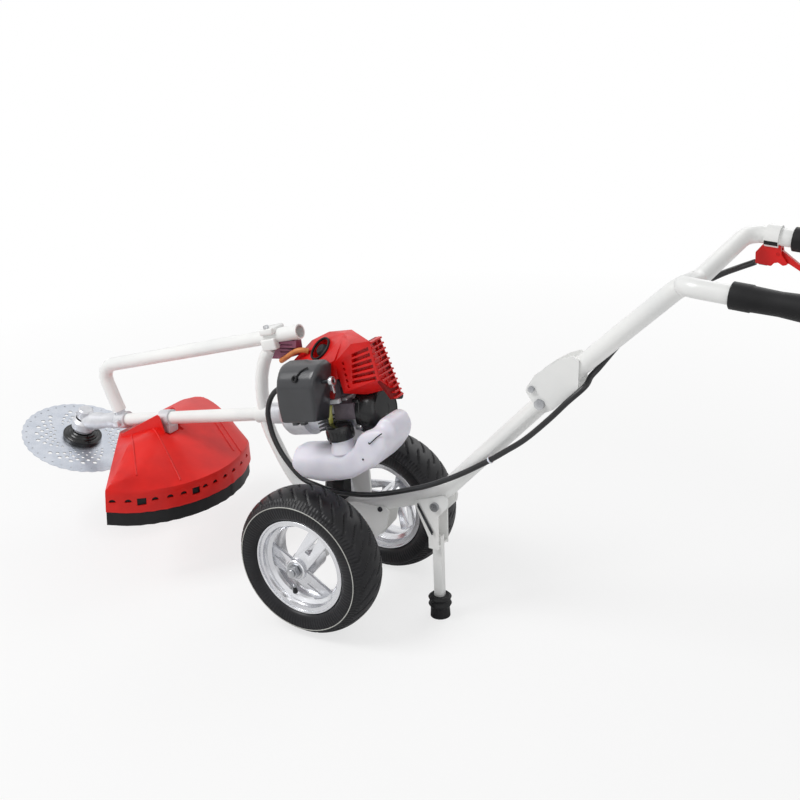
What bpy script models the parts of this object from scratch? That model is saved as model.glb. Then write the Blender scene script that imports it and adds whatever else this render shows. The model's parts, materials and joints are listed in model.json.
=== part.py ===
"""Two-wheel hand-push brush cutter with a small two-stroke engine.

The engine sits over the axle and drives a perforated disc at the front
through a straight shaft tube.  The operator pushes it by a forked handle.
Metres, +Z up.  The blade points to -X and the operator stands at +X.
The origin is the middle of the stand foot's underside, on the ground.
"""

import math

import bmesh
import bpy
from mathutils import Matrix, Vector

MM = 0.001

# Clearances
GAP = 0.3 * MM
RUNNING_GAP = 0.5 * MM

# Wheels and axle
TYRE_RADIUS = 0.141
TYRE_HALF_WIDTH = 0.046
TYRE_WALL = 0.006
TRACK = 0.280
RIM_LIP_RADIUS = 0.093
RIM_HALF_WIDTH = 0.039
RIM_SEAT_RADIUS = 0.082
RIM_WELL_RADIUS = 0.073
RIM_WALL = 0.003
WHEEL_STEPS = 24
HUB_RADIUS = 0.021
HUB_OUTER_END = 0.050
HUB_INNER_END = 0.020
SPOKE_COUNT = 5
SPOKE_PHASE = math.radians(24)
SPOKE_PLATE = 0.007
BEARING_RADIUS = 0.016
BEARING_WIDTH = 0.009
AXLE_RADIUS = 0.0075
AXLE_NUT_WIDTH = 0.010
AXLE_STUB = 0.003

# Frame tubes
MAIN_TUBE_RADIUS = 0.016
HOOP_RADIUS = 0.0125
ARM_RADIUS = 0.014
ARM_WALL = 0.0025
STUB_CLEARANCE = 0.9 * MM
SHAFT_TUBE_RADIUS = 0.013
SHAFT_TUBE_WALL = 0.0016
AXLE_TUBE_RADIUS = 0.015
PLATE_THICKNESS = 0.003

# Drive line: distances along the shaft axis, measured from above the axle
SHAFT_SLOPE = math.radians(12.07)
SHAFT_HEIGHT = 0.2426
HEAD_AT = -0.6995
BLADE_TILT = math.radians(18.6)
DISC_DROP = 0.041
ARM_CLAMP_AT = -0.5788
GUARD_CLAMP_AT = -0.451
SLEEVE_AT = -0.1922
SLEEVE_LENGTH = 0.030
SLEEVE_RADIUS = 0.0172
COLLAR_LENGTH = 0.026
HOOP_CLEARANCE = 0.0015
CLUTCH_REAR_AT = -0.082
HEAD_NECK_START = 0.055
HEAD_NECK_END = 0.106
DRIVE_SHAFT_RADIUS = 0.004

# Bevel gears
PINION_TEETH = 14
GEAR_TEETH = 19
CONE_DISTANCE = 0.016
GEAR_FACE = 0.0055
TOOTH_TIP = 0.0008
TOOTH_ROOT = 0.0015

# Blade
DISC_RADIUS = 0.1275
DISC_THICKNESS = 0.0016
DISC_BORE = 0.0127
DISC_TEETH = 36
TOOTH_DEPTH = 0.004
HOLE_SECTORS = 6
HOLE_RADIUS = 0.0036
DUST_CUP_RADIUS = 0.041

# Guard
GUARD_PITCH = math.radians(5)
GUARD_RADIUS = 0.245
GUARD_WALL = 0.003
GUARD_DROP = 0.0725
GUARD_CENTRE_AHEAD = 0.102
SKIRT_DEPTH = 0.044
STRIP_DEPTH = 0.066

# Handle
PIVOT_X = 0.403
PIVOT_RISE = 0.331
STEM_RADIUS = 0.016
BAR_RADIUS = 0.014
BAR_HALF_SPREAD = 0.163
GRIP_LENGTH = 0.132
GRIP_WALL = 0.0035
FORK = (0.248, 0.235)
BAR_CORNER_AHEAD = 0.070
GRIP_START = (0.347, 0.270)
BAR_SLOPE = math.radians(-4)
THROTTLE_AT = -0.031

# Stand
STAND_PIVOT_X = 0.197
STAND_PIVOT_RISE = 0.096
FOOT_X = 0.1905
FOOT_HEIGHT = 0.044
FOOT_RADIUS = 0.022
LEG_WIDTH = 0.018
LEG_DEPTH = 0.012

# Engine
CRANKCASE_RADIUS = 0.034
CRANKCASE_REAR_AT = 0.0516
CYLINDER_BASE = 0.034
CYLINDER_TOP = 0.112
CYLINDER_RADIUS = 0.033
SHROUD_WALL = 0.004
SHROUD_NEAR = -0.052
SHROUD_FAR = 0.078
STARTER_RADIUS = 0.042
STARTER_DEPTH = 0.042
CARBURETTOR_NEAR = -0.0597
FILTER_DEPTH = 0.075
TANK_NEAR = -0.080
TANK_FAR = 0.0155
CAP_RADIUS = 0.025
CAP_AT = (0.022, -0.058, -0.034)
CABLE_RADIUS = 0.005

# Orientations
UPRIGHT = (math.pi / 2, 0, 0)
ALONG_X = (0, math.pi / 2, 0)
ALONG_Y = (-math.pi / 2, 0, 0)

# Colours as linear RGB
WHITE = (0.80, 0.80, 0.78)
RED = (0.62, 0.018, 0.012)
BLACK = (0.016, 0.016, 0.017)
CHARCOAL = (0.035, 0.036, 0.038)
GREY = (0.45, 0.46, 0.47)
STEEL = (0.55, 0.56, 0.57)
TANK_WHITE = (0.83, 0.82, 0.86)
FUEL_YELLOW = (0.60, 0.58, 0.20)

FINISHES = {
    "white_paint": (WHITE, 0.35, 0.0),
    "red_plastic": (RED, 0.30, 0.0),
    "black_plastic": (CHARCOAL, 0.42, 0.0),
    "rubber": (BLACK, 0.75, 0.0),
    "cast_aluminium": (GREY, 0.38, 1.0),
    "steel": (STEEL, 0.28, 1.0),
    "tank_plastic": (TANK_WHITE, 0.40, 0.0),
    "clear_hose": (FUEL_YELLOW, 0.30, 0.0),
}


def clear_scene():
    for item in list(bpy.data.objects):
        bpy.data.objects.remove(item, do_unlink=True)


clear_scene()
parts = bpy.data.collections.new("hand_push_brush_cutter")
guides = bpy.data.collections.new("cutters")
bpy.context.scene.collection.children.link(parts)
bpy.context.scene.collection.children.link(guides)


def mm(points):
    """Millimetre pairs or triples as metres."""
    return [tuple(value * MM for value in point) for point in points]


def finish(name):
    """The shared material of that name."""
    found = bpy.data.materials.get(name)
    if found:
        return found
    colour, roughness, metallic = FINISHES[name]
    made = bpy.data.materials.new(name)
    made.use_nodes = True
    surface = made.node_tree.nodes["Principled BSDF"]
    surface.inputs["Base Color"].default_value = (*colour, 1)
    surface.inputs["Roughness"].default_value = roughness
    surface.inputs["Metallic"].default_value = metallic
    return made


def seat(name, parent=None, at=(0, 0, 0), turn=(0, 0, 0)):
    """An empty that carries pieces at its place and angle."""
    empty = bpy.data.objects.new(name, None)
    empty.parent = parent
    empty.location = at
    empty.rotation_euler = turn
    parts.objects.link(empty)
    return empty


def put(name, data, parent, at, turn, material):
    """A part of the object, or a guide where it has no material."""
    piece = bpy.data.objects.new(name, data)
    piece.parent = parent
    piece.location = at
    piece.rotation_euler = turn
    if material:
        parts.objects.link(piece)
        data.materials.append(finish(material))
    else:
        guides.objects.link(piece)
        piece.hide_render = True
        piece.display_type = "WIRE"
    return piece


def turned(name, profile, steps, parent, at=(0, 0, 0), turn=(0, 0, 0), material=None, ring=False):
    """Turned solid about local Z; its (radius, height) profile runs down the outer side."""
    count = len(profile)
    edges = [(index, index + 1) for index in range(count - 1)]
    if ring:
        edges.append((count - 1, 0))
    mesh = bpy.data.meshes.new(name)
    mesh.from_pydata([(radius, 0, height) for radius, height in profile], edges, [])
    piece = put(name, mesh, parent, at, turn, material)
    screw = piece.modifiers.new("turn", "SCREW")
    screw.steps = steps
    screw.render_steps = steps
    screw.use_merge_vertices = True
    screw.merge_threshold = 0.00001
    return piece


def plate(name, outline, thickness, parent, at=(0, 0, 0), turn=UPRIGHT, material=None, holes=()):
    """Flat outline with holes, as thick as given, centred on its own plane."""
    curve = bpy.data.curves.new(name, "CURVE")
    curve.dimensions = "2D"
    curve.fill_mode = "BOTH"
    curve.extrude = thickness / 2
    for loop in (outline, *holes):
        spline = curve.splines.new("POLY")
        spline.points.add(len(loop) - 1)
        for point, (across, up) in zip(spline.points, loop):
            point.co = (across, up, 0, 1)
        spline.use_cyclic_u = True
    return put(name, curve, parent, at, turn, material)


def tube(name, route, radius, sides, parent, at=(0, 0, 0), turn=(0, 0, 0), material=None, wall=0):
    """Round tube along a route; hollow with open ends where a wall is given."""
    curve = bpy.data.curves.new(name, "CURVE")
    curve.dimensions = "3D"
    curve.bevel_depth = radius
    curve.bevel_resolution = sides // 2 - 2
    curve.use_fill_caps = not wall
    spline = curve.splines.new("POLY")
    spline.points.add(len(route) - 1)
    for point, place in zip(spline.points, route):
        point.co = (*place, 1)
    piece = put(name, curve, parent, at, turn, material)
    if wall:
        shell = piece.modifiers.new("wall", "SOLIDIFY")
        shell.thickness = wall
        shell.offset = -1
        shell.use_even_offset = True
    return piece


def primitive(name, make, parent, at, turn, material):
    """Object from one bmesh primitive, which the make function adds."""
    shape = bmesh.new()
    make(shape)
    mesh = bpy.data.meshes.new(name)
    shape.to_mesh(mesh)
    shape.free()
    return put(name, mesh, parent, at, turn, material)


def box(name, size, parent, at=(0, 0, 0), turn=(0, 0, 0), material=None, bevel=0, segments=2):
    """Block with rounded edges."""
    def make(shape):
        bmesh.ops.create_cube(shape, size=1, matrix=Matrix.Diagonal((*size, 1)))
    piece = primitive(name, make, parent, at, turn, material)
    if bevel:
        round_edges(piece, bevel, segments)
    return piece


def rod(name, radius, length, sides, parent, at=(0, 0, 0), turn=(0, 0, 0), material=None):
    """Cylinder centred on its place, along local Z."""
    def make(shape):
        bmesh.ops.create_cone(shape, cap_ends=True, segments=sides, radius1=radius,
                              radius2=radius, depth=length)
    return primitive(name, make, parent, at, turn, material)


def weld(mesh):
    shape = bmesh.new()
    shape.from_mesh(mesh)
    bmesh.ops.remove_doubles(shape, verts=shape.verts, dist=0.000002)
    shape.to_mesh(mesh)
    shape.free()


def as_mesh(piece):
    """The piece's curve as a welded mesh in the same place."""
    if piece.type == "MESH":
        return piece
    bpy.context.view_layer.update()
    seen = piece.evaluated_get(bpy.context.evaluated_depsgraph_get())
    mesh = bpy.data.meshes.new_from_object(seen)
    weld(mesh)
    name = piece.name
    solid = bpy.data.objects.new(name, mesh)
    for home in piece.users_collection:
        home.objects.link(solid)
    solid.parent = piece.parent
    solid.matrix_world = piece.matrix_world
    solid.hide_render = piece.hide_render
    solid.display_type = piece.display_type
    bpy.data.objects.remove(piece)
    solid.name = name
    return solid


def round_edges(piece, width, segments=2, angle=30):
    bevel = piece.modifiers.new("edges", "BEVEL")
    bevel.width = width
    bevel.segments = segments
    bevel.limit_method = "ANGLE"
    bevel.angle_limit = math.radians(angle)


def combine(piece, tools, operation):
    """Join the tools to the piece, or cut them out of it, in one exact step."""
    piece = as_mesh(piece)
    group = bpy.data.collections.new(f"{piece.name}_{operation.lower()}")
    guides.children.link(group)
    for tool in tools:
        group.objects.link(as_mesh(tool))
    change = piece.modifiers.new(operation.lower(), "BOOLEAN")
    change.operation = operation
    change.solver = "EXACT"
    change.operand_type = "COLLECTION"
    change.collection = group
    return piece


def cut(piece, *tools):
    return combine(piece, tools, "DIFFERENCE")


def join(piece, *tools):
    return combine(piece, tools, "UNION")


def arc(centre, radius, start, end, steps):
    """Points on an arc, angles in degrees."""
    return [(centre[0] + radius * math.cos(math.radians(start + (end - start) * step / steps)),
             centre[1] + radius * math.sin(math.radians(start + (end - start) * step / steps)))
            for step in range(steps + 1)]


def rounded_corner(before, corner, after, radius, steps):
    """Arc of the given radius that replaces a corner."""
    corner = Vector(corner)
    come = (Vector(before) - corner).normalized()
    leave = (Vector(after) - corner).normalized()
    half = come.angle(leave) / 2
    setback = radius / math.tan(half)
    centre = corner + (come + leave).normalized() * radius / math.sin(half)
    first = corner + come * setback - centre
    last = corner + leave * setback - centre
    turn = math.pi - 2 * half
    return [centre + (first * math.sin(turn * (1 - step / steps))
                      + last * math.sin(turn * step / steps)) / math.sin(turn)
            for step in range(steps + 1)]


def rounded_route(points, radius, steps=4):
    """Open route whose inner corners are arcs."""
    route = [Vector(points[0])]
    for before, corner, after in zip(points, points[1:], points[2:]):
        route += rounded_corner(before, corner, after, radius, steps)
    route.append(Vector(points[-1]))
    return route


def rounded_outline(points, radius, steps=3):
    """Closed outline whose corners are arcs; a third value is that corner's own radius."""
    outline = []
    count = len(points)
    for index, corner in enumerate(points):
        own = corner[2] if len(corner) > 2 else radius
        before = points[index - 1][:2]
        after = points[(index + 1) % count][:2]
        if own:
            outline += [tuple(place) for place in
                        rounded_corner(before, corner[:2], after, own, steps)]
        else:
            outline.append(tuple(corner[:2]))
    return outline


def smooth_route(points, per_span):
    """Smooth curve through a route's own points."""
    places = [Vector(point) for point in points]
    ends = [places[0] * 2 - places[1], *places, places[-1] * 2 - places[-2]]
    route = []
    for before, start, end, after in zip(ends, ends[1:], ends[2:], ends[3:]):
        for step in range(per_span):
            share = step / per_span
            route.append(0.5 * (2 * start + (end - before) * share
                                + (2 * before - 5 * start + 4 * end - after) * share ** 2
                                + (3 * start - before - 3 * end + after) * share ** 3))
    return [*route, places[-1]]


def upright(points):
    """Points in the X-Z plane as 3-D points."""
    return [(across, 0, up) for across, up in points]


# Outline of the cylinder cover, from its front corner over the top
SHROUD_TOP = mm([(-78, 80), (-30, 128), (54, 151), (96, 131), (122, 131), (131, 22)])
SHROUD_BOTTOM = mm([(68, 27), (45, 34)])

# Seats: every piece is placed on one of these
axle = seat("axle_seat", at=(-FOOT_X, 0, TYRE_RADIUS))
engine = seat("engine_seat", axle, (0, 0, SHAFT_HEIGHT), (0, -SHAFT_SLOPE, 0))
head = seat("gear_head_seat", engine, (HEAD_AT, 0, 0), (0, SHAFT_SLOPE + BLADE_TILT, 0))
guard_seat = seat("guard_seat", engine, (GUARD_CLAMP_AT, 0, 0), (0, SHAFT_SLOPE + GUARD_PITCH, 0))
handle = seat("handle_seat", axle, (PIVOT_X, 0, PIVOT_RISE))
stand = seat("stand_seat", axle, (STAND_PIVOT_X, 0, STAND_PIVOT_RISE))
wheel_seats = {
    "left": seat("left_wheel_seat", axle, (0, -TRACK / 2, 0), (math.pi / 2, 0, 0)),
    "right": seat("right_wheel_seat", axle, (0, TRACK / 2, 0), (-math.pi / 2, 0, 0)),
}


def on_shaft(distance, rise=0):
    """Chassis (x, z) of a point on the shaft axis, or above it square to the axis."""
    return (distance * math.cos(SHAFT_SLOPE) - rise * math.sin(SHAFT_SLOPE),
            SHAFT_HEIGHT + distance * math.sin(SHAFT_SLOPE) + rise * math.cos(SHAFT_SLOPE))


def tyre_profile():
    """Hollow tyre section, open at the bead: outer side down, inner side up."""
    r = TYRE_RADIUS
    w = TYRE_HALF_WIDTH
    bead = RIM_HALF_WIDTH - 0.0033
    lip = RIM_LIP_RADIUS
    toe = RIM_SEAT_RADIUS + GAP
    outer = [(toe, bead), (lip + GAP, bead), (lip + 0.004, w - 0.003), (r - 0.031, w),
             (r - 0.018, w - 0.002), (r - 0.0050, w - 0.017)]
    outer += [(r, 0)] + [(radius, -height) for radius, height in reversed(outer)]
    t = TYRE_WALL
    inner = [(toe, bead - 0.008), (r - 0.036, w - t), (r - 0.007 - t, w - 0.016)]
    inner += [(radius, -height) for radius, height in reversed(inner)]
    return outer + list(reversed(inner))


def rim_profile():
    """Rim barrel with a lip, a bead seat and a well on each side."""
    lip = RIM_LIP_RADIUS
    edge = RIM_HALF_WIDTH
    low = RIM_SEAT_RADIUS
    well = RIM_WELL_RADIUS
    t = RIM_WALL
    outer = [(lip, edge), (lip, edge - t), (low, edge - t), (low, edge - 0.012),
             (well, edge - 0.019)]
    outer += [(radius, -height) for radius, height in reversed(outer)]
    inner = [(lip - t, edge), (low - t, edge - t / 2), (low - t, edge - 0.0135),
             (well - t, edge - 0.0205)]
    inner += [(radius, -height) for radius, height in reversed(inner)]
    return outer + list(reversed(inner))


def star_plate(name, parent):
    """Five tapered spokes in one plate, each with a triangular slot."""
    reach = RIM_WELL_RADIUS - RIM_WALL / 2
    outline = []
    slots = [arc((0, 0), (HUB_RADIUS + BEARING_RADIUS + GAP) / 2, 0, 330, 11)]
    for spoke in range(SPOKE_COUNT):
        middle = SPOKE_PHASE + math.tau * spoke / SPOKE_COUNT
        for radius, aside in ((reach, -8), (reach, 8), (0.028, 36)):
            angle = middle + math.radians(aside)
            outline.append((radius * math.cos(angle), radius * math.sin(angle)))
        slots.append([(radius * math.cos(middle + math.radians(aside)),
                       radius * math.sin(middle + math.radians(aside)))
                      for radius, aside in ((0.036, 0), (0.063, 4.5), (0.063, -4.5))])
    middle_height = SPOKE_PLATE / 2 - HUB_INNER_END + 0.002
    return plate(name, outline, SPOKE_PLATE, parent, (0, 0, middle_height), (0, 0, 0), holes=slots)


def hub_profile():
    """Hub with a bearing pocket at each end."""
    pocket = BEARING_RADIUS + GAP
    depth = BEARING_WIDTH + GAP
    bore = AXLE_RADIUS + 0.002
    return [(HUB_RADIUS, HUB_OUTER_END), (HUB_RADIUS, -HUB_INNER_END), (pocket, -HUB_INNER_END),
            (pocket, depth - HUB_INNER_END), (bore, depth - HUB_INNER_END),
            (bore, HUB_OUTER_END - depth), (pocket, HUB_OUTER_END - depth),
            (pocket, HUB_OUTER_END)]


def bearing_profile():
    """Sealed ball bearing with its seal set in on both faces."""
    half = BEARING_WIDTH / 2
    bore = AXLE_RADIUS + GAP
    middle = (BEARING_RADIUS + bore) / 2
    return [(BEARING_RADIUS, half), (BEARING_RADIUS, -half), (middle, 0.0006 - half),
            (bore, -half), (bore, half), (middle, half - 0.0006)]


def build_wheel(side):
    carrier = wheel_seats[side]
    turned(f"{side}_tyre", tyre_profile(), WHEEL_STEPS, carrier, material="rubber", ring=True)
    rim = turned(f"{side}_rim", rim_profile(), WHEEL_STEPS, carrier,
                 material="cast_aluminium", ring=True)
    hub = turned(f"{side}_hub_shape", hub_profile(), 12, carrier, ring=True)
    join(rim, star_plate(f"{side}_star_shape", carrier), hub)
    outer = HUB_OUTER_END - BEARING_WIDTH / 2
    inner = BEARING_WIDTH / 2 - HUB_INNER_END
    for place, height in (("outer", outer), ("inner", inner)):
        turned(f"{side}_{place}_bearing", bearing_profile(), 12, carrier, (0, 0, height),
               material="steel", ring=True)
    nut_height = HUB_OUTER_END + RUNNING_GAP + AXLE_NUT_WIDTH / 2
    bore_loop = arc((0, 0), AXLE_RADIUS + GAP, 0, 330, 11)
    hexagon = arc((0, 0), 0.0125, 0, 300, 5)
    plate(f"{side}_axle_nut", hexagon, AXLE_NUT_WIDTH, carrier, (0, 0, nut_height), (0, 0, 0),
          material="steel", holes=[bore_loop])


def build_axle():
    end = TRACK / 2 + HUB_OUTER_END + RUNNING_GAP + AXLE_NUT_WIDTH + AXLE_STUB
    chamfer = 0.001
    turned("axle_shaft", [(0, end), (AXLE_RADIUS - chamfer, end), (AXLE_RADIUS, end - chamfer),
                          (AXLE_RADIUS, chamfer - end), (AXLE_RADIUS - chamfer, -end), (0, -end)],
           12, axle, turn=ALONG_Y, material="steel")


def main_tube_points():
    """Main tube axis from its front socket to just past the handle pivot."""
    low_bend = (0.205, 0.120)
    pivot = Vector((PIVOT_X, PIVOT_RISE))
    rise = (pivot - Vector(low_bend)).normalized()
    return [(-0.025, 0.054), (0.030, 0.054), low_bend, tuple(pivot + rise * 0.012)]


def build_base_bracket():
    """Axle tube with two side plates that hold the main tube between them."""
    half = TRACK / 2 - HUB_INNER_END - RUNNING_GAP
    outline = rounded_outline(mm([(-20, -23), (-20, 9), (-15, 59), (17, 66), (100, 71), (90, 30),
                                  (60, -7), (25, -23)]), 0.006, 1)
    bracket = rod("base_bracket", AXLE_TUBE_RADIUS, 2 * half, 12, axle, turn=ALONG_Y,
                  material="white_paint")
    across = MAIN_TUBE_RADIUS + GAP + PLATE_THICKNESS / 2
    for side, place in (("left", -across), ("right", across)):
        bracket = join(bracket, plate(f"{side}_plate_shape", outline, PLATE_THICKNESS, axle,
                                      (0, place, 0)))
    bore = rod("axle_tube_bore", AXLE_RADIUS + GAP, 2 * half + 0.01, 12, axle, turn=ALONG_Y)
    cut(bracket, bore)


def build_main_tube():
    """Main tube with two welded ears for the stand's pivot bolt."""
    route = rounded_route(upright(main_tube_points()), 0.060)
    pipe = tube("main_tube", route, MAIN_TUBE_RADIUS, 12, axle, material="white_paint")
    ear = mm([(-9, -9), (-13, 2), (-12, 20), (22, 36), (22, 4), (9, -9)])
    inside = MAIN_TUBE_RADIUS - PLATE_THICKNESS / 2 - 0.0004
    for side, place in (("left", -inside), ("right", inside)):
        pipe = join(pipe, plate(f"{side}_ear_shape", ear, PLATE_THICKNESS, stand, (0, place, 0)))
    socket = rod("front_socket", HOOP_RADIUS + RUNNING_GAP, 0.100, 12, axle, (-0.025, 0, 0.054), ALONG_X)
    pipe = cut(pipe, socket)
    stand_bolt = rod("stand_bolt_hole", 0.005, 0.08, 12, stand, turn=ALONG_Y)
    handle_bolt = rod("handle_bolt_hole", 0.0053, 0.08, 12, handle, turn=ALONG_Y)
    cut(pipe, stand_bolt, handle_bolt)


def arm_points():
    """Arm axis from its open rear end, over the saddle, down to the front clamp."""
    clamp = Vector(on_shaft(ARM_CLAMP_AT))
    lean = math.radians(22.2)
    up = Vector((-math.sin(lean), math.cos(lean)))
    corner = clamp + up * 0.122
    saddle = saddle_point()
    back = (saddle - corner).normalized()
    return saddle + back * 0.067, corner, clamp + up * 0.021, up


def saddle_point():
    """Where the arm's axis passes over the hoop's top."""
    sleeve = Vector(on_shaft(SLEEVE_AT))
    return sleeve + Vector((0.033, 0.1628))


def build_hoop():
    """Curved riser with the shaft's sleeve and the arm's saddle welded on."""
    sleeve = Vector(on_shaft(SLEEVE_AT))
    shape = mm([(33, 140), (14, 121), (0, 78), (-2, 28), (5, -23), (23, -62), (50, -110),
                (78, -139)])
    points = [tuple(sleeve + Vector(point)) for point in shape]
    points += [(-0.070, 0.0545), (-0.045, 0.054), (0.015, 0.054)]
    route = smooth_route(upright(points), 2)
    hoop = tube("hoop_frame", route, HOOP_RADIUS, 10, axle, material="white_paint")
    ring = rod("sleeve_shape", SLEEVE_RADIUS, SLEEVE_LENGTH, 16, engine, (SLEEVE_AT, 0, 0), ALONG_X)
    saddle = saddle_point()
    rear, corner = arm_points()[:2]
    slope = math.atan2(rear[1] - corner[1], rear[0] - corner[0])
    block = box("saddle_shape", (0.034, 0.040, 0.022), axle,
                (saddle[0] + 0.003, 0, saddle[1] - 0.0117), (0, -slope, 0), bevel=0.003)
    hoop = join(hoop, ring, block)
    shaft_bore = rod("sleeve_bore", SHAFT_TUBE_RADIUS + GAP, 0.08, 16, engine, (SLEEVE_AT, 0, 0),
                     ALONG_X)
    arm_groove = rod("saddle_groove", ARM_RADIUS + GAP, 0.12, 16, axle,
                     (saddle[0], 0, saddle[1]), (0, math.pi / 2 - slope, 0))
    cut(hoop, shaft_bore, arm_groove)


def build_arm():
    """Top arm that braces the shaft's front end, with its clamp cap and bolts."""
    rear, corner, foot, up = arm_points()
    route = rounded_route(upright([rear, corner, foot]), 0.032, 4)
    tube("arm_tube", route, ARM_RADIUS, 12, axle, material="white_paint", wall=ARM_WALL)
    slope = math.atan2(rear[1] - corner[1], rear[0] - corner[0])
    saddle = saddle_point()
    tilt = (0, -slope, 0)
    lift = Vector((-math.sin(slope), math.cos(slope)))
    middle = saddle + lift * 0.0135
    cap = box("arm_clamp_cap", (0.032, 0.040, 0.012), axle, (middle[0] + 0.003, 0, middle[1]),
              tilt, material="white_paint", bevel=0.003)
    groove = rod("cap_groove", ARM_RADIUS + GAP, 0.12, 16, axle, (saddle[0], 0, saddle[1]),
                 (0, math.pi / 2 - slope, 0))
    cut(cap, groove)
    head_place = saddle + lift * (0.0195 + GAP)
    turned("arm_clamp_bolt", [(0, 0.007), (0.006, 0.007), (0.0075, 0.004), (0.0075, 0)] + [(0, 0)],
           12, axle, (head_place[0] + 0.003, 0, head_place[1]), tilt, "steel")
    clamp = rod("shaft_clamp", SHAFT_TUBE_RADIUS + 0.005, 0.028, 16, engine,
                (ARM_CLAMP_AT, 0, 0), ALONG_X, "cast_aluminium")
    centre = Vector(on_shaft(ARM_CLAMP_AT))
    stub_middle = centre + up * 0.030
    lean = math.atan2(up[0], up[1])
    stub = rod("clamp_stub", ARM_RADIUS - ARM_WALL - STUB_CLEARANCE, 0.034, 14, axle,
               (stub_middle[0], 0, stub_middle[1]), (0, lean, 0))
    lug = box("clamp_lug", (0.016, 0.014, 0.014), engine, (ARM_CLAMP_AT, -0.020, 0), bevel=0.002)
    bore = rod("clamp_bore", SHAFT_TUBE_RADIUS + GAP, 0.06, 16, engine, (ARM_CLAMP_AT, 0, 0),
               ALONG_X)
    cut(join(clamp, stub, lug), bore)


def build_shaft():
    """Outer shaft tube from the gear head to the clutch housing."""
    front = HEAD_AT + HEAD_NECK_START + GAP
    rear = SLEEVE_AT + SLEEVE_LENGTH / 2 + COLLAR_LENGTH
    tube("shaft_tube", [(front, 0, 0), (rear, 0, 0)], SHAFT_TUBE_RADIUS, 16, engine,
         material="white_paint", wall=SHAFT_TUBE_WALL)


def build_gear_head():
    """Angle gearbox: body, top boss and neck, hollowed for the bevel gears."""
    body = turned("gear_head", [(0, 0.033), (0.013, 0.033), (0.016, 0.030), (0.0165, 0.012),
                                (0.0245, 0.003), (0.0255, -0.012),
                                (0.021, -0.020), (0, -0.020)], 16, head,
                  material="cast_aluminium")
    neck = turned("neck_shape", [(0, HEAD_NECK_END), (0.0178, HEAD_NECK_END), (0.0178, 0.088),
                                 (0.0160, 0.086), (0.0160, 0.060), (0.0185, 0.050),
                                 (0.0185, 0.010), (0, 0.010)],
                  14, engine, (HEAD_AT, 0, 0), ALONG_X)
    screw_boss = rod("head_screw", 0.005, 0.016, 8, head, (-0.018, 0, 0.008), (0, -0.9, 0))
    body = join(body, neck, screw_boss)
    cavity = turned("gear_room", [(0, 0.012), (0.0185, 0.012), (0.0200, -0.011), (0, -0.011)],
                    14, head)
    shaft_room = turned("pinion_room", [(0, 0.026), (0.0145, 0.026), (0.0145, 0), (0, 0)], 12,
                        engine, (HEAD_AT, 0, 0), ALONG_X)
    shaft_bore = rod("bearing_bore", DRIVE_SHAFT_RADIUS + GAP, 0.12, 10, engine,
                     (HEAD_AT + 0.060, 0, 0), ALONG_X)
    length = HEAD_NECK_END - HEAD_NECK_START + 0.01
    tube_seat = rod("tube_seat", SHAFT_TUBE_RADIUS + GAP, length, 16, engine,
                    (HEAD_AT + HEAD_NECK_START + length / 2, 0, 0), ALONG_X)
    spindle_bore = rod("spindle_bore", 0.006 + GAP, 0.030, 12, head, (0, 0, -0.015))
    cut(body, cavity, shaft_room, shaft_bore, tube_seat, spindle_bore)


def bevel_gear(name, teeth, cone_angle, parent, at, turn, start):
    """Straight bevel gear with its cone's tip at its origin, along local Z."""
    inward = (CONE_DISTANCE - GEAR_FACE) / CONE_DISTANCE
    side, down = math.sin(cone_angle), math.cos(cone_angle)
    pitch = math.tau / teeth
    ring = []
    for tooth in range(teeth):
        for offset, lift in ((-0.28, -TOOTH_ROOT), (-0.10, TOOTH_TIP), (0.10, TOOTH_TIP),
                             (0.28, -TOOTH_ROOT)):
            angle = pitch * (tooth + start + offset)
            radius = CONE_DISTANCE * side + lift * down
            height = CONE_DISTANCE * down - lift * side
            ring.append(Vector((radius * math.cos(angle), radius * math.sin(angle), height)))
    shape = bmesh.new()
    outer = [shape.verts.new(point) for point in ring]
    inner = [shape.verts.new(point * inward) for point in ring]
    root_height = CONE_DISTANCE * down + TOOTH_ROOT * side
    back = shape.verts.new((0, 0, root_height + 0.002))
    front = shape.verts.new((0, 0, root_height * inward))
    for index in range(len(ring)):
        following = (index + 1) % len(ring)
        shape.faces.new((outer[index], outer[following], inner[following], inner[index]))
        shape.faces.new((outer[following], outer[index], back))
        shape.faces.new((inner[index], inner[following], front))
    bmesh.ops.recalc_face_normals(shape, faces=shape.faces)
    mesh = bpy.data.meshes.new(name)
    shape.to_mesh(mesh)
    shape.free()
    return put(name, mesh, parent, at, turn, None)


def gear_cone_angles():
    """Pitch cone angles of gear and pinion for the angle between their axes."""
    between = math.pi / 2 + SHAFT_SLOPE + BLADE_TILT
    gear = math.atan2(math.sin(between), PINION_TEETH / GEAR_TEETH + math.cos(between))
    return gear, between - gear


def build_drive_line():
    """Drive shaft with its bevel pinion at the front and the clutch drum at the rear."""
    gear_angle, pinion_angle = gear_cone_angles()
    shaft_start = HEAD_AT + 0.010
    shaft_end = CLUTCH_REAR_AT - 0.030
    shaft = rod("drive_shaft", DRIVE_SHAFT_RADIUS, shaft_end - shaft_start, 10, engine,
                ((shaft_start + shaft_end) / 2, 0, 0), ALONG_X, "steel")
    pinion = bevel_gear("pinion_shape", PINION_TEETH, pinion_angle, engine, (HEAD_AT, 0, 0),
                        ALONG_X, 0)
    join(shaft, pinion)
    rim = 0.0355
    drum = [(rim, 0.020), (rim, 0), (0.012, -0.001), (0.010, -0.010),
            (DRIVE_SHAFT_RADIUS + GAP, -0.010), (DRIVE_SHAFT_RADIUS + GAP, 0.003),
            (rim - 0.0025, 0.003), (rim - 0.0025, 0.020)]
    turned("clutch_drum", drum, 16, engine,
           (CLUTCH_REAR_AT - 0.033, 0, 0), ALONG_X, "steel", ring=True)
    return gear_angle


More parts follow.
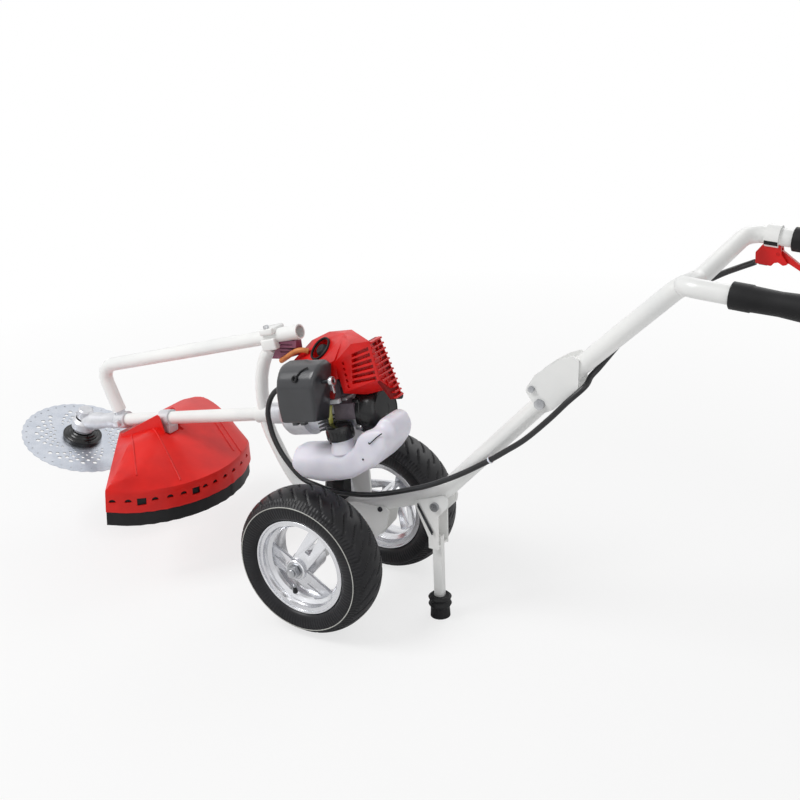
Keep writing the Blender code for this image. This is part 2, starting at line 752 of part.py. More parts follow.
def build_blade(gear_angle):
    """Output spindle with its gear, dust cup, perforated disc and clamping nut."""
    seat_drop = DISC_DROP - DISC_THICKNESS / 2
    spindle = turned("output_spindle",
                     [(0, 0), (0.005, 0), (0.006, -0.008), (0.006, -0.0205), (0.011, -0.0205), (0.011, -seat_drop + 0.0003),
                      (DISC_BORE - GAP, -seat_drop + 0.0003), (DISC_BORE - GAP, -seat_drop - 0.0012),
                      (0.005, -seat_drop - 0.0012), (0.005, -0.060), (0, -0.060)],
                     12, head, material="steel")
    gear = bevel_gear("gear_shape", GEAR_TEETH, gear_angle, head, (0, 0, 0), (math.pi, 0, 0), 0.5)
    join(spindle, gear)
    cup = -seat_drop + 0.0006
    turned("dust_cup", [(0.0225, -0.0225), (0.026, -0.026), (0.034, cup + 0.008),
                        (DUST_CUP_RADIUS, cup + 0.007), (DUST_CUP_RADIUS, cup),
                        (0.0130, cup), (0.0130, cup + 0.003), (0.030, cup + 0.004),
                        (0.0235, -0.0275), (0.0115, -0.0245), (0.0115, -0.0225)],
           16, head, material="black_plastic", ring=True)
    nut_top = -DISC_DROP - DISC_THICKNESS / 2 - GAP
    turned("blade_nut", [(0.032, nut_top), (0.034, nut_top - 0.002), (0.028, nut_top - 0.006),
                         (0.011, nut_top - 0.007), (0.010, nut_top - 0.015),
                         (0.005 + GAP, nut_top - 0.015), (0.005 + GAP, nut_top)],
           16, head, material="steel", ring=True)
    build_disc()


def build_disc():
    """Toothed disc with six swirls of holes that grow towards the rim."""
    rim = []
    for tooth in range(DISC_TEETH):
        start = 360 * tooth / DISC_TEETH
        for share, radius in ((0, DISC_RADIUS - TOOTH_DEPTH), (0.40, DISC_RADIUS)):
            angle = math.radians(start + share * 360 / DISC_TEETH)
            rim.append((radius * math.cos(angle), radius * math.sin(angle)))
    holes = [arc((0, 0), DISC_BORE, 0, 330, 11)]
    rows = ((0.058, 0.0030, 0), (0.075, 0.0036, 9), (0.095, 0.0042, 20))
    for sector in range(HOLE_SECTORS):
        for column in range(2):
            for distance, radius, swirl in rows:
                turn = math.radians(360 * sector / HOLE_SECTORS + column * 24 + swirl)
                centre = (distance * math.cos(turn), distance * math.sin(turn))
                holes.append(arc(centre, radius, 0, 288, 4))
    plate("blade_disc", rim, DISC_THICKNESS, head, (0, 0, -DISC_DROP), (0, 0, 0),
          material="steel", holes=holes)


def guard_row(aside):
    """Start and end of the guard's top along the tube, at a distance to one side."""
    radius = GUARD_RADIUS
    end = math.sqrt(max(radius ** 2 - aside ** 2, 0))
    near_corner = (radius * math.cos(math.radians(-58)), radius * math.sin(math.radians(-58)))
    if aside < 0:
        share = aside / near_corner[1]
        start = -0.034 + (near_corner[0] + 0.034) * share
    else:
        start = -0.034
    return start, end


def between(position, places):
    """Straight-line value from sorted (position, value) places."""
    if position <= places[0][0]:
        return places[0][1]
    for (low, first), (high, last) in zip(places, places[1:]):
        if position <= high:
            return first + (last - first) * (position - low) / (high - low)
    return places[-1][1]


def guard_height(along, aside):
    """Rise of the guard's top: a saddle with a cheek on each side of the shaft."""
    ridge = mm([(-34, 3), (-20, 9), (94, 86), (112, 56), (150, 12), (175, 0)])
    trough = mm([(-34, 3), (-20, 9), (94, 46), (125, 50), (150, 12), (175, 0)])
    off = abs(aside)
    if off <= 0.0165:
        return between(along, trough)
    return between(along, ridge) * between(off, [(0.0215, 1), (0.050, 0)])


def guard_grid():
    """Top sheet points in the guard's seat, by rows beside the shaft."""
    asides = [GUARD_RADIUS * math.sin(math.radians(angle))
              for angle in (-58, -47, -37, -28, -20)]
    asides += [place * MM for place in (-50, -21.5, -16.5, 16.5, 21.5, 50)]
    asides += [GUARD_RADIUS * math.sin(math.radians(angle)) for angle in (20, 30, 41, 53, 66, 83)]
    shares = (0, 0.05, 0.25, 0.459, 0.523, 0.66, 0.80, 1)
    grid = []
    for aside in asides:
        start, end = guard_row(aside)
        row = []
        for share in shares:
            along = start + (end - start) * share
            row.append((along, aside, guard_height(along, aside)))
        grid.append(row)
    return grid


def guard_boundary(grid):
    """Outer edge of the top sheet: the near corner, the rear arc and the far end."""
    return [row[-1] for row in grid] + list(reversed(grid[-1][:-1]))


def skirt_flare(depth):
    """How far the skirt stands out at a depth below the top sheet."""
    return between(depth, mm([(0, 0), (6, 2), (44, 5), (66, 6.5)]))


def lowered(edge, depth, outward):
    """Boundary points moved down and out from the guard's centre."""
    moved = []
    for along, aside, height in edge:
        distance = math.hypot(along, aside)
        scale = (distance + outward) / distance
        moved.append((along * scale, aside * scale, height - depth))
    return moved


def sheet(name, rows, thickness, parent, at, material):
    """Grid of points as an open sheet, thickened downwards."""
    shape = bmesh.new()
    made = [[shape.verts.new(point) for point in row] for row in rows[0]]
    for first, second in zip(made, made[1:]):
        for index in range(len(first) - 1):
            shape.faces.new((first[index], first[index + 1], second[index + 1], second[index]))
    for band in rows[1:]:
        lines = [[shape.verts.new(point) for point in line] for line in band]
        for first, second in zip(lines, lines[1:]):
            for index in range(len(first) - 1):
                shape.faces.new((first[index], second[index], second[index + 1],
                                 first[index + 1]))
    bmesh.ops.remove_doubles(shape, verts=shape.verts, dist=0.00005)
    bmesh.ops.recalc_face_normals(shape, faces=shape.faces)
    highest = max(shape.faces, key=lambda face: face.calc_center_median().z)
    if highest.normal.z < 0:
        bmesh.ops.reverse_faces(shape, faces=shape.faces)
    mesh = bpy.data.meshes.new(name)
    shape.to_mesh(mesh)
    shape.free()
    piece = put(name, mesh, parent, at, (0, 0, 0), material)
    wall = piece.modifiers.new("wall", "SOLIDIFY")
    wall.thickness = thickness
    wall.offset = -1
    wall.use_even_offset = True
    return piece


def build_guard():
    """Red guard with a deep skirt, its rubber strip and its clamp on the shaft."""
    grid = guard_grid()
    edge = guard_boundary(grid)
    place = (-GUARD_CENTRE_AHEAD, 0, -GUARD_DROP)
    skirt = [lowered(edge, depth, skirt_flare(depth)) for depth in (0, 0.006, SKIRT_DEPTH)]
    guard = sheet("guard", [grid, skirt], GUARD_WALL, guard_seat, place, "red_plastic")
    guard = cut(guard, *guard_slots(place))
    inside = -GUARD_WALL - RUNNING_GAP
    strip = [lowered(edge, depth, skirt_flare(depth) + inside)
             for depth in (STRIP_DEPTH - 0.036, SKIRT_DEPTH, STRIP_DEPTH)]
    sheet("guard_edge", [[], strip], GUARD_WALL, guard_seat, place, "rubber")
    ring = rod("guard_clamp", SHAFT_TUBE_RADIUS + 0.0045, 0.026, 16, engine,
               (GUARD_CLAMP_AT, 0, 0), ALONG_X, "cast_aluminium")
    foot = box("guard_clamp_foot", (0.024, 0.026, 0.020), guard_seat,
               (0.004, 0, -GUARD_DROP + 0.0595), bevel=0.002)
    bore = rod("guard_clamp_bore", SHAFT_TUBE_RADIUS + GAP, 0.05, 16, engine,
               (GUARD_CLAMP_AT, 0, 0), ALONG_X)
    cut(join(ring, foot), bore)


def guard_slots(place):
    """Half-moon slots along the skirt, with two square ones among them."""
    tools = []
    for number, angle in enumerate(range(-48, 85, 13)):
        square = number in (1, 4)
        turn = math.radians(angle)
        at = (place[0] + GUARD_RADIUS * math.cos(turn), GUARD_RADIUS * math.sin(turn),
              place[2] - 0.019)
        wide = 0.013 if square else 0.012
        size = (0.03, wide, 0.012) if square else (0.03, wide, 0.005)
        tools.append(box(f"skirt_slot_{number}", size, guard_seat, at, (0, 0, turn)))
    return tools


def build_engine():
    """Crankcase, finned cylinder and what is bolted on them."""
    case = turned("crankcase",
                  [(0, CRANKCASE_REAR_AT), (STARTER_RADIUS, CRANKCASE_REAR_AT),
                   (STARTER_RADIUS, CRANKCASE_REAR_AT - 0.007),
                   (CRANKCASE_RADIUS, CRANKCASE_REAR_AT - 0.008),
                   (CRANKCASE_RADIUS - 0.003, 0), (CRANKCASE_RADIUS, CLUTCH_REAR_AT + 0.012),
                   (0.043, CLUTCH_REAR_AT + 0.011), (0.043, CLUTCH_REAR_AT + GAP),
                   (0, CLUTCH_REAR_AT + GAP)], 16, engine, turn=ALONG_X, material="cast_aluminium")
    block = box("cylinder_seat", (0.066, 0.062, CYLINDER_BASE - GAP + 0.010), engine,
                (0, 0, (CYLINDER_BASE - GAP - 0.010) / 2), bevel=0.003)
    crank_bore = rod("crank_bore", 0.008 + GAP, 0.3, 16, engine, turn=ALONG_X)
    cut(join(case, block), crank_bore)
    build_cylinder()
    build_crankshaft()
    build_clutch_housing()
    build_starter()


def build_cylinder():
    """Cylinder with cooling fins."""
    pitch = 0.0155
    profile = [(0, CYLINDER_TOP), (CYLINDER_RADIUS - 0.004, CYLINDER_TOP)]
    height = CYLINDER_TOP - 0.004
    while height > CYLINDER_BASE + pitch:
        profile += [(CYLINDER_RADIUS, height), (CYLINDER_RADIUS, height - 0.004),
                    (CYLINDER_RADIUS - 0.008, height - 0.005),
                    (CYLINDER_RADIUS - 0.008, height - pitch + 0.001)]
        height -= pitch
    profile += [(CYLINDER_RADIUS, CYLINDER_BASE + 0.005), (CYLINDER_RADIUS, CYLINDER_BASE),
                (0, CYLINDER_BASE)]
    turned("cylinder", profile, 12, engine, material="cast_aluminium")
    turned("spark_plug_boot", [(0, 0.026), (0.009, 0.026), (0.012, 0.022), (0.012, 0.006),
                               (0.008, 0), (0, 0)], 14, engine,
           (-0.014, 0, CYLINDER_TOP + GAP), material="rubber")


def build_crankshaft():
    """Crankshaft with the clutch rotor at the front and the starter hub at the rear."""
    rotor = CLUTCH_REAR_AT - 0.012
    turned("crankshaft", [(0, 0.074), (0.008, 0.074), (0.008, 0.072), (0.018, 0.072),
                          (0.018, 0.064), (0.008, 0.064), (0.008, rotor + 0.010),
                          (0.030, rotor + 0.009), (0.0325, rotor + 0.006),
                          (0.0325, rotor - 0.008), (0.012, rotor - 0.010), (0, rotor - 0.010)],
           16, engine, turn=ALONG_X, material="steel")


def build_clutch_housing():
    """Bell housing that clamps the shaft tube and covers the clutch."""
    front = SLEEVE_AT + SLEEVE_LENGTH / 2 + HOOP_CLEARANCE
    neck = SHAFT_TUBE_RADIUS + GAP
    land = SLEEVE_AT + SLEEVE_LENGTH / 2 + COLLAR_LENGTH + GAP
    profile = [(0.043, CLUTCH_REAR_AT), (0.043, -0.118), (0.039, -0.124), (0.021, -0.142),
               (0.020, front), (neck, front), (neck, land), (DRIVE_SHAFT_RADIUS + GAP, land),
               (DRIVE_SHAFT_RADIUS + GAP, land + 0.014), (0.020, land + 0.015), (0.038, -0.117),
               (0.0385, CLUTCH_REAR_AT)]
    turned("clutch_housing", profile, 16, engine, turn=ALONG_X, material="cast_aluminium",
           ring=True)


def build_starter():
    """Recoil starter housing with its pull grip on the far side."""
    front = CRANKCASE_REAR_AT + GAP
    rear = front + STARTER_DEPTH
    radius = STARTER_RADIUS
    housing = turned("starter_housing",
                     [(0, rear + 0.001), (radius - 0.010, rear + 0.001), (radius - 0.009, rear - 0.001),
                      (radius - 0.003, rear - 0.004), (radius, rear - 0.012), (radius, front),
                      (radius - 0.004, front), (radius - 0.004, rear - 0.012),
                      (radius - 0.013, rear - 0.004), (0, rear - 0.004)], 16, engine,
                     turn=ALONG_X, material="black_plastic")
    boss = box("rope_guide", (0.022, 0.014, 0.018), engine, (0.072, radius + 0.001, 0.004),
               bevel=0.003)
    housing = join(housing, boss)
    rope_bore = rod("rope_bore", 0.003, 0.03, 10, engine, (0.072, radius + 0.002, 0.004), ALONG_Y)
    cut(housing, rope_bore)
    grip_turn = (math.pi / 2, 0, 0)
    grip = rod("starter_grip", 0.007, 0.055, 12, engine,
               (0.072, radius + 0.019, 0.004), ALONG_X, "rubber")
    rope = rod("starter_rope_end", 0.0022, 0.020, 8, engine, (0.072, radius + 0.008, 0.004),
               grip_turn)
    collar = rod("grip_collar", 0.006, 0.008, 10, engine, (0.072, radius + 0.0125, 0.004),
                 grip_turn)
    join(grip, collar, rope)


def inset(points, distance):
    """Closed outline moved inwards by a distance; the points run clockwise."""
    moved = []
    count = len(points)
    for index in range(count):
        before, corner, after = (Vector(points[index - 1]), Vector(points[index]),
                                 Vector(points[(index + 1) % count]))
        first = (corner - before).normalized()
        second = (after - corner).normalized()
        first_in = Vector((first.y, -first.x))
        second_in = Vector((second.y, -second.x))
        bisector = (first_in + second_in).normalized()
        moved.append(tuple(corner + bisector * distance / bisector.dot(first_in)))
    return moved


def build_shroud():
    """Red cylinder cover: a moulded shell with a slotted side and a comb grille."""
    outline = SHROUD_TOP + SHROUD_BOTTOM
    middle = (SHROUD_NEAR + SHROUD_FAR) / 2
    width = SHROUD_FAR - SHROUD_NEAR
    shroud = as_mesh(plate("engine_shroud", outline, width, engine, (0, middle, 0),
                           material="red_plastic"))
    round_edges(shroud, 0.007, 1)
    inner = inset(outline, SHROUD_WALL)
    room = inner[:len(SHROUD_TOP) - 1]
    room += mm([(127, -20), (40, -20), (40, 40), (-90, 60)])
    hollow = plate("shroud_room", room, width - 2 * SHROUD_WALL, engine, (0, middle, 0))
    notch = box("carburettor_notch", (0.126, width + 0.02, 0.080), engine, (-0.027, middle, 0.040))
    shroud = cut(shroud, hollow, notch)
    tilt = math.radians(-24)
    rim = turned("plug_rim", [(0.023, 0.004), (0.024, -0.010), (0.018, -0.010), (0.0195, 0.004)],
                 16, engine, (-0.016, 0, 0.131), (0, tilt, 0), ring=True)
    boss = rod("shroud_boss", 0.006, 0.030, 10, engine, (0.018, 0, CYLINDER_TOP + GAP + 0.015))
    shroud = join(shroud, rim, boss)
    opening = rod("plug_opening", 0.0185, 0.05, 16, engine, (-0.016, 0, 0.131), (0, tilt, 0))
    cut(shroud, opening, exhaust_window(), *side_slots(), *grille_gaps())


def side_slots():
    """Six slanted slots in the near side."""
    return [box(f"side_slot_{number}", (0.034, 0.02, 0.006), engine,
                (0.070 + number * 0.0035, SHROUD_NEAR, 0.062 + number * 0.0125),
                (0, math.radians(-20), 0)) for number in range(6)]


def grille_gaps():
    """Gaps between the upright fins of the rear grille, in two rows."""
    lean = math.atan2(SHROUD_TOP[-1][0] - SHROUD_TOP[-2][0],
                      SHROUD_TOP[-2][1] - SHROUD_TOP[-1][1])
    gaps = []
    for row, height in enumerate((0.052, 0.098)):
        for column in range(6):
            across = SHROUD_NEAR + 0.017 + column * 0.0185
            ahead = between(height, [(SHROUD_TOP[-1][1], SHROUD_TOP[-1][0]),
                                     (SHROUD_TOP[-2][1], SHROUD_TOP[-2][0])])
            gaps.append(box(f"grille_gap_{row}_{column}", (0.03, 0.0105, 0.038), engine,
                            (ahead, across, height), (0, -lean, 0)))
    return gaps


def exhaust_window():
    return box("exhaust_window", (0.044, 0.02, 0.030), engine, (-0.006, SHROUD_FAR, 0.094))


def build_intake():
    """Carburettor with its choke lever, and the air filter cover."""
    cylinder_side = -CYLINDER_RADIUS - GAP
    depth = cylinder_side - CARBURETTOR_NEAR
    body = box("carburettor", (0.042, depth, 0.046), engine,
               (0.006, (cylinder_side + CARBURETTOR_NEAR) / 2, 0.052), material="cast_aluminium",
               bevel=0.004)
    adjuster = rod("adjuster_boss", 0.007, 0.006, 10, engine, (-0.006, -0.047, 0.0757))
    join(body, adjuster)
    outline = rounded_outline(mm([(-52, 20, 10), (-52, 108, 22), (48, 108, 22), (50, 20, 10)]),
                              0.01, 4)
    near = CARBURETTOR_NEAR - GAP
    cover = as_mesh(plate("air_filter_cover", outline, FILTER_DEPTH, engine,
                          (0, near - FILTER_DEPTH / 2, 0), material="black_plastic"))
    shape_front(cover, 0.020)
    turned("choke_lever", [(0.003, 0.004), (0.0085, 0.004), (0.0085, -0.004), (0.003, -0.004)],
           14, engine, (0.050 + GAP + 0.004, near - 0.028, 0.084), ALONG_X, "steel", ring=True)
    pin = rod("choke_pin", 0.0027, 0.014, 10, engine, (0.052, near - 0.028, 0.084), ALONG_X)
    join(cover, pin)


def shape_front(piece, width):
    """Round the edges of a block's near face only."""
    shape = bmesh.new()
    shape.from_mesh(piece.data)
    highest = max(vertex.co.z for vertex in shape.verts)
    edges = [edge for edge in shape.edges
             if all(abs(vertex.co.z - highest) < 1e-6 for vertex in edge.verts)
             and edge.calc_face_angle(0) > 1]
    bmesh.ops.bevel(shape, geom=edges, offset=width, segments=3, profile=0.5, affect="EDGES")
    shape.to_mesh(piece.data)
    shape.free()


def build_muffler():
    """Boxed muffler on the far side, with its outlet in the shroud's window."""
    near = CYLINDER_RADIUS + GAP
    depth = SHROUD_FAR - SHROUD_WALL - 0.002 - near
    body = box("muffler", (0.058, depth, 0.052), engine, (-0.006, near + depth / 2, 0.080),
               material="steel", bevel=0.006)
    outlet = rod("muffler_outlet", 0.008, 0.014, 12, engine, (0.002, near + depth + 0.003, 0.094),
                 ALONG_Y)
    join(body, outlet)


def build_tank():
    """Kidney-shaped fuel tank that curls up behind the starter, with its cap."""
    outline = rounded_outline(mm([(-104, -50), (-108, -86), (-88, -119), (-4, -121), (44, -112),
                                  (98, -84), (140, -54), (162, 6), (143, 10), (124, -26),
                                  (94, -50)]), 0, 0)
    middle = (TANK_NEAR + TANK_FAR) / 2
    tank = as_mesh(plate("fuel_tank", outline, TANK_FAR - TANK_NEAR, engine, (0, middle, 0),
                         material="tank_plastic"))
    round_edges(tank, 0.009, 2, 25)
    neck = rod("tank_neck", CAP_RADIUS - 0.004, 0.024, 16, engine,
               (CAP_AT[0], CAP_AT[1], CAP_AT[2] - 0.012 - GAP))
    join(tank, neck)
    profile = [(0, 0.028), (CAP_RADIUS - 0.004, 0.028), (CAP_RADIUS - 0.002, 0.025),
               (CAP_RADIUS, 0.012), (CAP_RADIUS, 0), (0, 0)]
    turned("fuel_cap", profile, 16, engine, CAP_AT, material="black_plastic")
    line = smooth_route(mm([(-14, -66, -49.2), (-15, -66, -30), (-22, -60, 0), (-18, -50, 16),
                            (-10, -46, 27)]), 3)
    tube("fuel_line", line, 0.0025, 8, engine, material="clear_hose")


def tank_floor(across):
    """Chassis height of the tank's underside above a chassis x."""
    low = Vector(on_shaft(-0.088, -0.119))
    high = Vector(on_shaft(-0.004, -0.121))
    return low[1] + (high[1] - low[1]) * (across - low[0]) / (high[0] - low[0])


def build_supports():
    """Rubber block under the tank, and the flat post that carries the engine."""
    front, rear = -0.022, 0.004
    base = 0.054 + MAIN_TUBE_RADIUS + GAP
    outline = [(front, base), (rear, base), (rear, tank_floor(rear) - GAP),
               (front, tank_floor(front) - GAP)]
    plate("tank_buffer", outline, 0.024, axle, (0, -0.004, 0), material="rubber")
    top_low = Vector(on_shaft(-0.022, -CRANKCASE_RADIUS + 0.004))
    top_high = Vector(on_shaft(0.022, -CRANKCASE_RADIUS + 0.004))
    post = [(0.004, 0.046), (0.030, 0.046), (0.034, 0.078), tuple(top_high), tuple(top_low),
            (-0.008, 0.090)]
    across = MAIN_TUBE_RADIUS + 2 * GAP + PLATE_THICKNESS + 0.0025
    plate("engine_post", post, 0.005, axle, (0, across, 0), material="white_paint")


def build_stand():
    """Folding stand: two cheeks, a folded front web and a square leg with a rubber foot."""
    cheek_middle = MAIN_TUBE_RADIUS + GAP + PLATE_THICKNESS / 2
    cheek = mm([(-44, -4), (-41, 4), (-8, 16), (16, 25), (24, 23), (27, 16), (25, 2), (5, -20),
                (4, -88), (-16, -88), (-16, -66)])
    leg = as_mesh(plate("left_cheek", cheek, PLATE_THICKNESS, stand, (0, -cheek_middle, 0),
                        material="white_paint"))
    leg.name = "stand_leg"
    far = plate("right_cheek", cheek, PLATE_THICKNESS, stand, (0, cheek_middle, 0))
    web = plate("stand_web", mm([(-37, -18), (-34.6, -17), (-13, -65.4), (-13, -87), (-15.4, -87),
                                 (-15.4, -65.8)]), 2 * cheek_middle, stand)
    centre = FOOT_X - STAND_PIVOT_X
    leg_top = -0.068
    leg_bottom = -(TYRE_RADIUS + STAND_PIVOT_RISE) + FOOT_HEIGHT - 0.024
    bar = box("leg_bar", (LEG_WIDTH, LEG_DEPTH, leg_top - leg_bottom), stand,
              (centre, 0, (leg_top + leg_bottom) / 2))
    cross = box("leg_cross", (LEG_WIDTH - 0.002, 2 * cheek_middle, 0.004), stand,
                (centre + 0.0007, 0, -0.0847))
    leg = join(leg, far, web, cross, bar)
    hole = rod("cheek_hole", 0.005 + GAP, 0.08, 12, stand, turn=ALONG_Y)
    cut(leg, hole)
    ground = -(TYRE_RADIUS + STAND_PIVOT_RISE)
    foot = FOOT_RADIUS
    top = FOOT_HEIGHT
    bore = 0.0112
    floor = top - 0.024 - GAP
    turned("stand_foot", [(0, floor), (bore, floor), (bore, top), (foot - 0.004, top),
                          (foot, top - 0.004), (foot - 0.003, top - 0.011),
                          (foot, top - 0.018), (foot - 0.004, top - 0.025), (foot - 0.003, 0),
                          (0, 0)],
           14, stand, (centre, 0, ground), material="rubber")
    bolt = 0.0047
    half = cheek_middle + PLATE_THICKNESS / 2 + GAP
    turned("stand_pivot_bolt", bolt_profile(bolt, half), 12, stand, turn=ALONG_Y,
           material="steel")


def bolt_profile(radius, half):
    """Through-bolt with a low head and a nut, its grip spanning twice the half width."""
    head_radius = radius * 1.8
    return [(0, half + 0.005), (head_radius - 0.001, half + 0.005), (head_radius, half + 0.004),
            (head_radius, half), (radius, half), (radius, -half), (head_radius, -half),
            (head_radius, -half - 0.005), (0, -half - 0.005)]


def pivot_frame():
    """Unit directions along the main tube's upper run and square to it."""
    points = main_tube_points()
    along = (Vector(points[3]) - Vector(points[2])).normalized()
    return along, Vector((-along.y, along.x))


def build_pivot():
    """Side plates that carry the stem and turn on the main tube's end."""
    along, square = pivot_frame()
    shape = mm([(-8, 14, 8), (-4, 34, 8), (30, 41, 12), (60, 37, 10), (88, 30, 8), (106, 22, 7),
                (110, 10, 6), (74, -23, 8), (12, -22, 8), (-10, -14, 8)])
    outline = []
    for point in shape:
        place = along * point[0] + square * point[1]
        outline.append((place.x, place.y, point[2]))
    outline = rounded_outline(outline, 0.008, 2)
    across = MAIN_TUBE_RADIUS + GAP + PLATE_THICKNESS / 2
    lock = along * 0.008 + square * 0.0275
    holes = [arc((0, 0), 0.0053, 0, 330, 11), arc(tuple(lock), 0.0034, 0, 324, 9)]
    for side, place in (("left", -across), ("right", across)):
        plate(f"{side}_pivot_plate", outline, PLATE_THICKNESS, handle, (0, place, 0),
              material="white_paint", holes=holes)
    half = across + PLATE_THICKNESS / 2 + GAP
    turned("handle_pivot_bolt", bolt_profile(0.005, half), 12, handle, turn=ALONG_Y,
           material="steel")
    turned("angle_lock_bolt", bolt_profile(0.003, half), 10, handle,
           (lock.x, 0, lock.y), ALONG_Y, "steel")


def bar_end(distance):
    """Point on the handlebar's straight end, measured back from the grip's front."""
    return (GRIP_START[0] + distance * math.cos(BAR_SLOPE),
            GRIP_START[1] + distance * math.sin(BAR_SLOPE))


def build_handle():
    """Stem and forked handlebar in one weldment, with two rubber grips."""
    along, square = pivot_frame()
    stem_start = along * 0.034 + square * 0.005
    bend = Vector(FORK) + Vector((-0.030, -0.016))
    stem_route = rounded_route(upright([tuple(stem_start), tuple(bend), FORK]), 0.050, 3)
    stem = tube("handle_frame", stem_route, STEM_RADIUS, 12, handle, material="white_paint")
    end = bar_end(GRIP_LENGTH - 0.008)
    corner = bar_end(-BAR_CORNER_AHEAD)
    points = [(end[0], -BAR_HALF_SPREAD, end[1]), (corner[0], -BAR_HALF_SPREAD, corner[1]),
              (FORK[0], 0, FORK[1]), (corner[0], BAR_HALF_SPREAD, corner[1]),
              (end[0], BAR_HALF_SPREAD, end[1])]
    bar = tube("bar_shape", rounded_route(points, 0.032, 4), BAR_RADIUS, 12, handle)
    join(stem, bar)
    bore = BAR_RADIUS + RUNNING_GAP
    outside = bore + GRIP_WALL
    length = GRIP_LENGTH
    profile = [(0, length), (outside - 0.003, length), (outside, length - 0.004),
               (outside + 0.001, length - 0.030), (outside - 0.001, length * 0.5),
               (outside, 0.010), (outside + 0.0045, 0.007), (outside + 0.0045, 0), (bore, 0),
               (bore, length - 0.008 + GAP), (0, length - 0.008 + GAP)]
    for side, place in (("left", -BAR_HALF_SPREAD), ("right", BAR_HALF_SPREAD)):
        turned(f"{side}_grip", profile, 14, handle, (GRIP_START[0], place, GRIP_START[1]),
               (0, math.pi / 2 - BAR_SLOPE, 0), "rubber")


def build_throttle():
    """Throttle body clamped on the far bar, with its trigger and stop switch."""
    place = bar_end(THROTTLE_AT)
    carrier = seat("throttle_seat", handle, (place[0], BAR_HALF_SPREAD, place[1]),
                   (0, -BAR_SLOPE, 0))
    ring = rod("throttle_housing", BAR_RADIUS + 0.005, 0.020, 16, carrier, turn=ALONG_X,
               material="red_plastic")
    outline = rounded_outline(mm([(-9, -10, 2), (-22, -20, 4), (-22, -44, 5), (6, -46, 4),
                                  (10, -36, 3), (20, -34, 4), (24, -22, 4), (9, -10, 2)]), 0.004, 2)
    body = plate("throttle_body", outline, 0.018, carrier)
    bore = rod("throttle_bore", BAR_RADIUS + GAP, 0.05, 16, carrier, turn=ALONG_X)
    pin_hole = rod("trigger_hole", 0.0028, 0.04, 10, carrier, (0.012, 0, -0.026), ALONG_Y)
    slot = box("trigger_slot", (0.040, 0.008, 0.034), carrier, (0.0195, 0, -0.0345))
    switch_well = box("switch_well", (0.0146, 0.0106, 0.006), carrier, (-0.010, 0, -0.046))
    cut(join(ring, body), bore, slot, pin_hole, switch_well)
    build_trigger(carrier)
    box("stop_switch", (0.014, 0.010, 0.0045), carrier, (-0.010, 0, -0.0462),
        material="black_plastic", bevel=0.001, segments=1)


def build_trigger(carrier):
    """Finger lever that turns on its pin inside the throttle body."""
    outline = rounded_outline(mm([(-7, 0, 3), (-4, 6, 3), (6, 5, 3), (22, -5, 3), (50, -22, 3),
                                  (46, -27, 3), (18, -14, 6), (-4, -8, 3)]), 0.003, 2)
    lever = plate("throttle_trigger", outline, 0.0068, carrier, (0.012, 0, -0.026),
                  material="red_plastic")
    pin = rod("trigger_pin", 0.0025, 0.018, 10, carrier, (0.012, 0, -0.026), ALONG_Y)
    join(lever, pin)


def build_cable():
    """Throttle cable from the trigger body, under the frame, up to the carburettor."""
    points = mm([(691.5, 163, 572.5), (683, 159, 568), (667, 132, 557), (655, 96, 549), (638, 55, 533),
                 (612, 22, 506), (582, -2, 468), (546, -17, 439), (507, -25, 411),
                 (476, -27, 380), (442, -28, 346), (406, -28, 306), (369, -26, 265),
                 (309, -24, 214), (242, -26, 161), (172, -29, 124), (121, -33, 105), (70, -39, 94),
                 (22, -45, 92), (-20, -46, 92), (-56, -47, 97), (-84, -48, 114),
                 (-108, -48, 146), (-128, -48, 182), (-144, -49, 215), (-149, -50, 245), (-143, -51, 271),
                 (-125, -50, 293), (-96, -48, 298), (-66, -47, 292), (-37, -47, 286)])
    route = smooth_route(points, 2)
    tube("throttle_cable", route, CABLE_RADIUS, 8, axle, material="rubber")


def smooth_round_faces():
    """Give every part its final mesh, smooth on round faces and sharp at edges."""
    bpy.context.view_layer.update()
    view = bpy.context.evaluated_depsgraph_get()
    solid_parts = [piece for piece in parts.objects if piece.type != "EMPTY"]
    meshes = {piece.name: bpy.data.meshes.new_from_object(piece.evaluated_get(view))
              for piece in solid_parts}
    for piece in solid_parts:
        mesh = meshes[piece.name]
        weld(mesh)
        mesh.shade_smooth()
        mesh.set_sharp_from_angle(angle=math.radians(35))
        if piece.type == "MESH":
            piece.modifiers.clear()
            piece.data = mesh
        else:
            swap_curve(piece, mesh)
    for guide in list(guides.objects):
        bpy.data.objects.remove(guide)


def swap_curve(piece, mesh):
    """Put a mesh object in place of a curve object of the same name."""
    name = piece.name
    solid = bpy.data.objects.new(name, mesh)
    parts.objects.link(solid)
    solid.parent = piece.parent
    solid.matrix_world = piece.matrix_world
    bpy.data.objects.remove(piece)
    solid.name = name


build_axle()
for wheel_side in wheel_seats:
    build_wheel(wheel_side)
build_base_bracket()
build_main_tube()
build_hoop()
build_arm()
build_shaft()
build_gear_head()
build_blade(build_drive_line())
build_guard()
build_engine()
build_shroud()
build_intake()
build_muffler()
build_tank()
build_supports()
build_stand()
build_pivot()
build_handle()
build_throttle()
build_cable()
smooth_round_faces()
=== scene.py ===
"""Looks of a two-wheel hand-push brush cutter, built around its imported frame.

Metres, +Z up.  The blade points to -X and the operator stands at +X.
Each piece is named for the CAD node it stands for, or for the node that
carries it, with a word after a dot.
"""

import json
import math

import bmesh
import bpy
from mathutils import Matrix, Vector

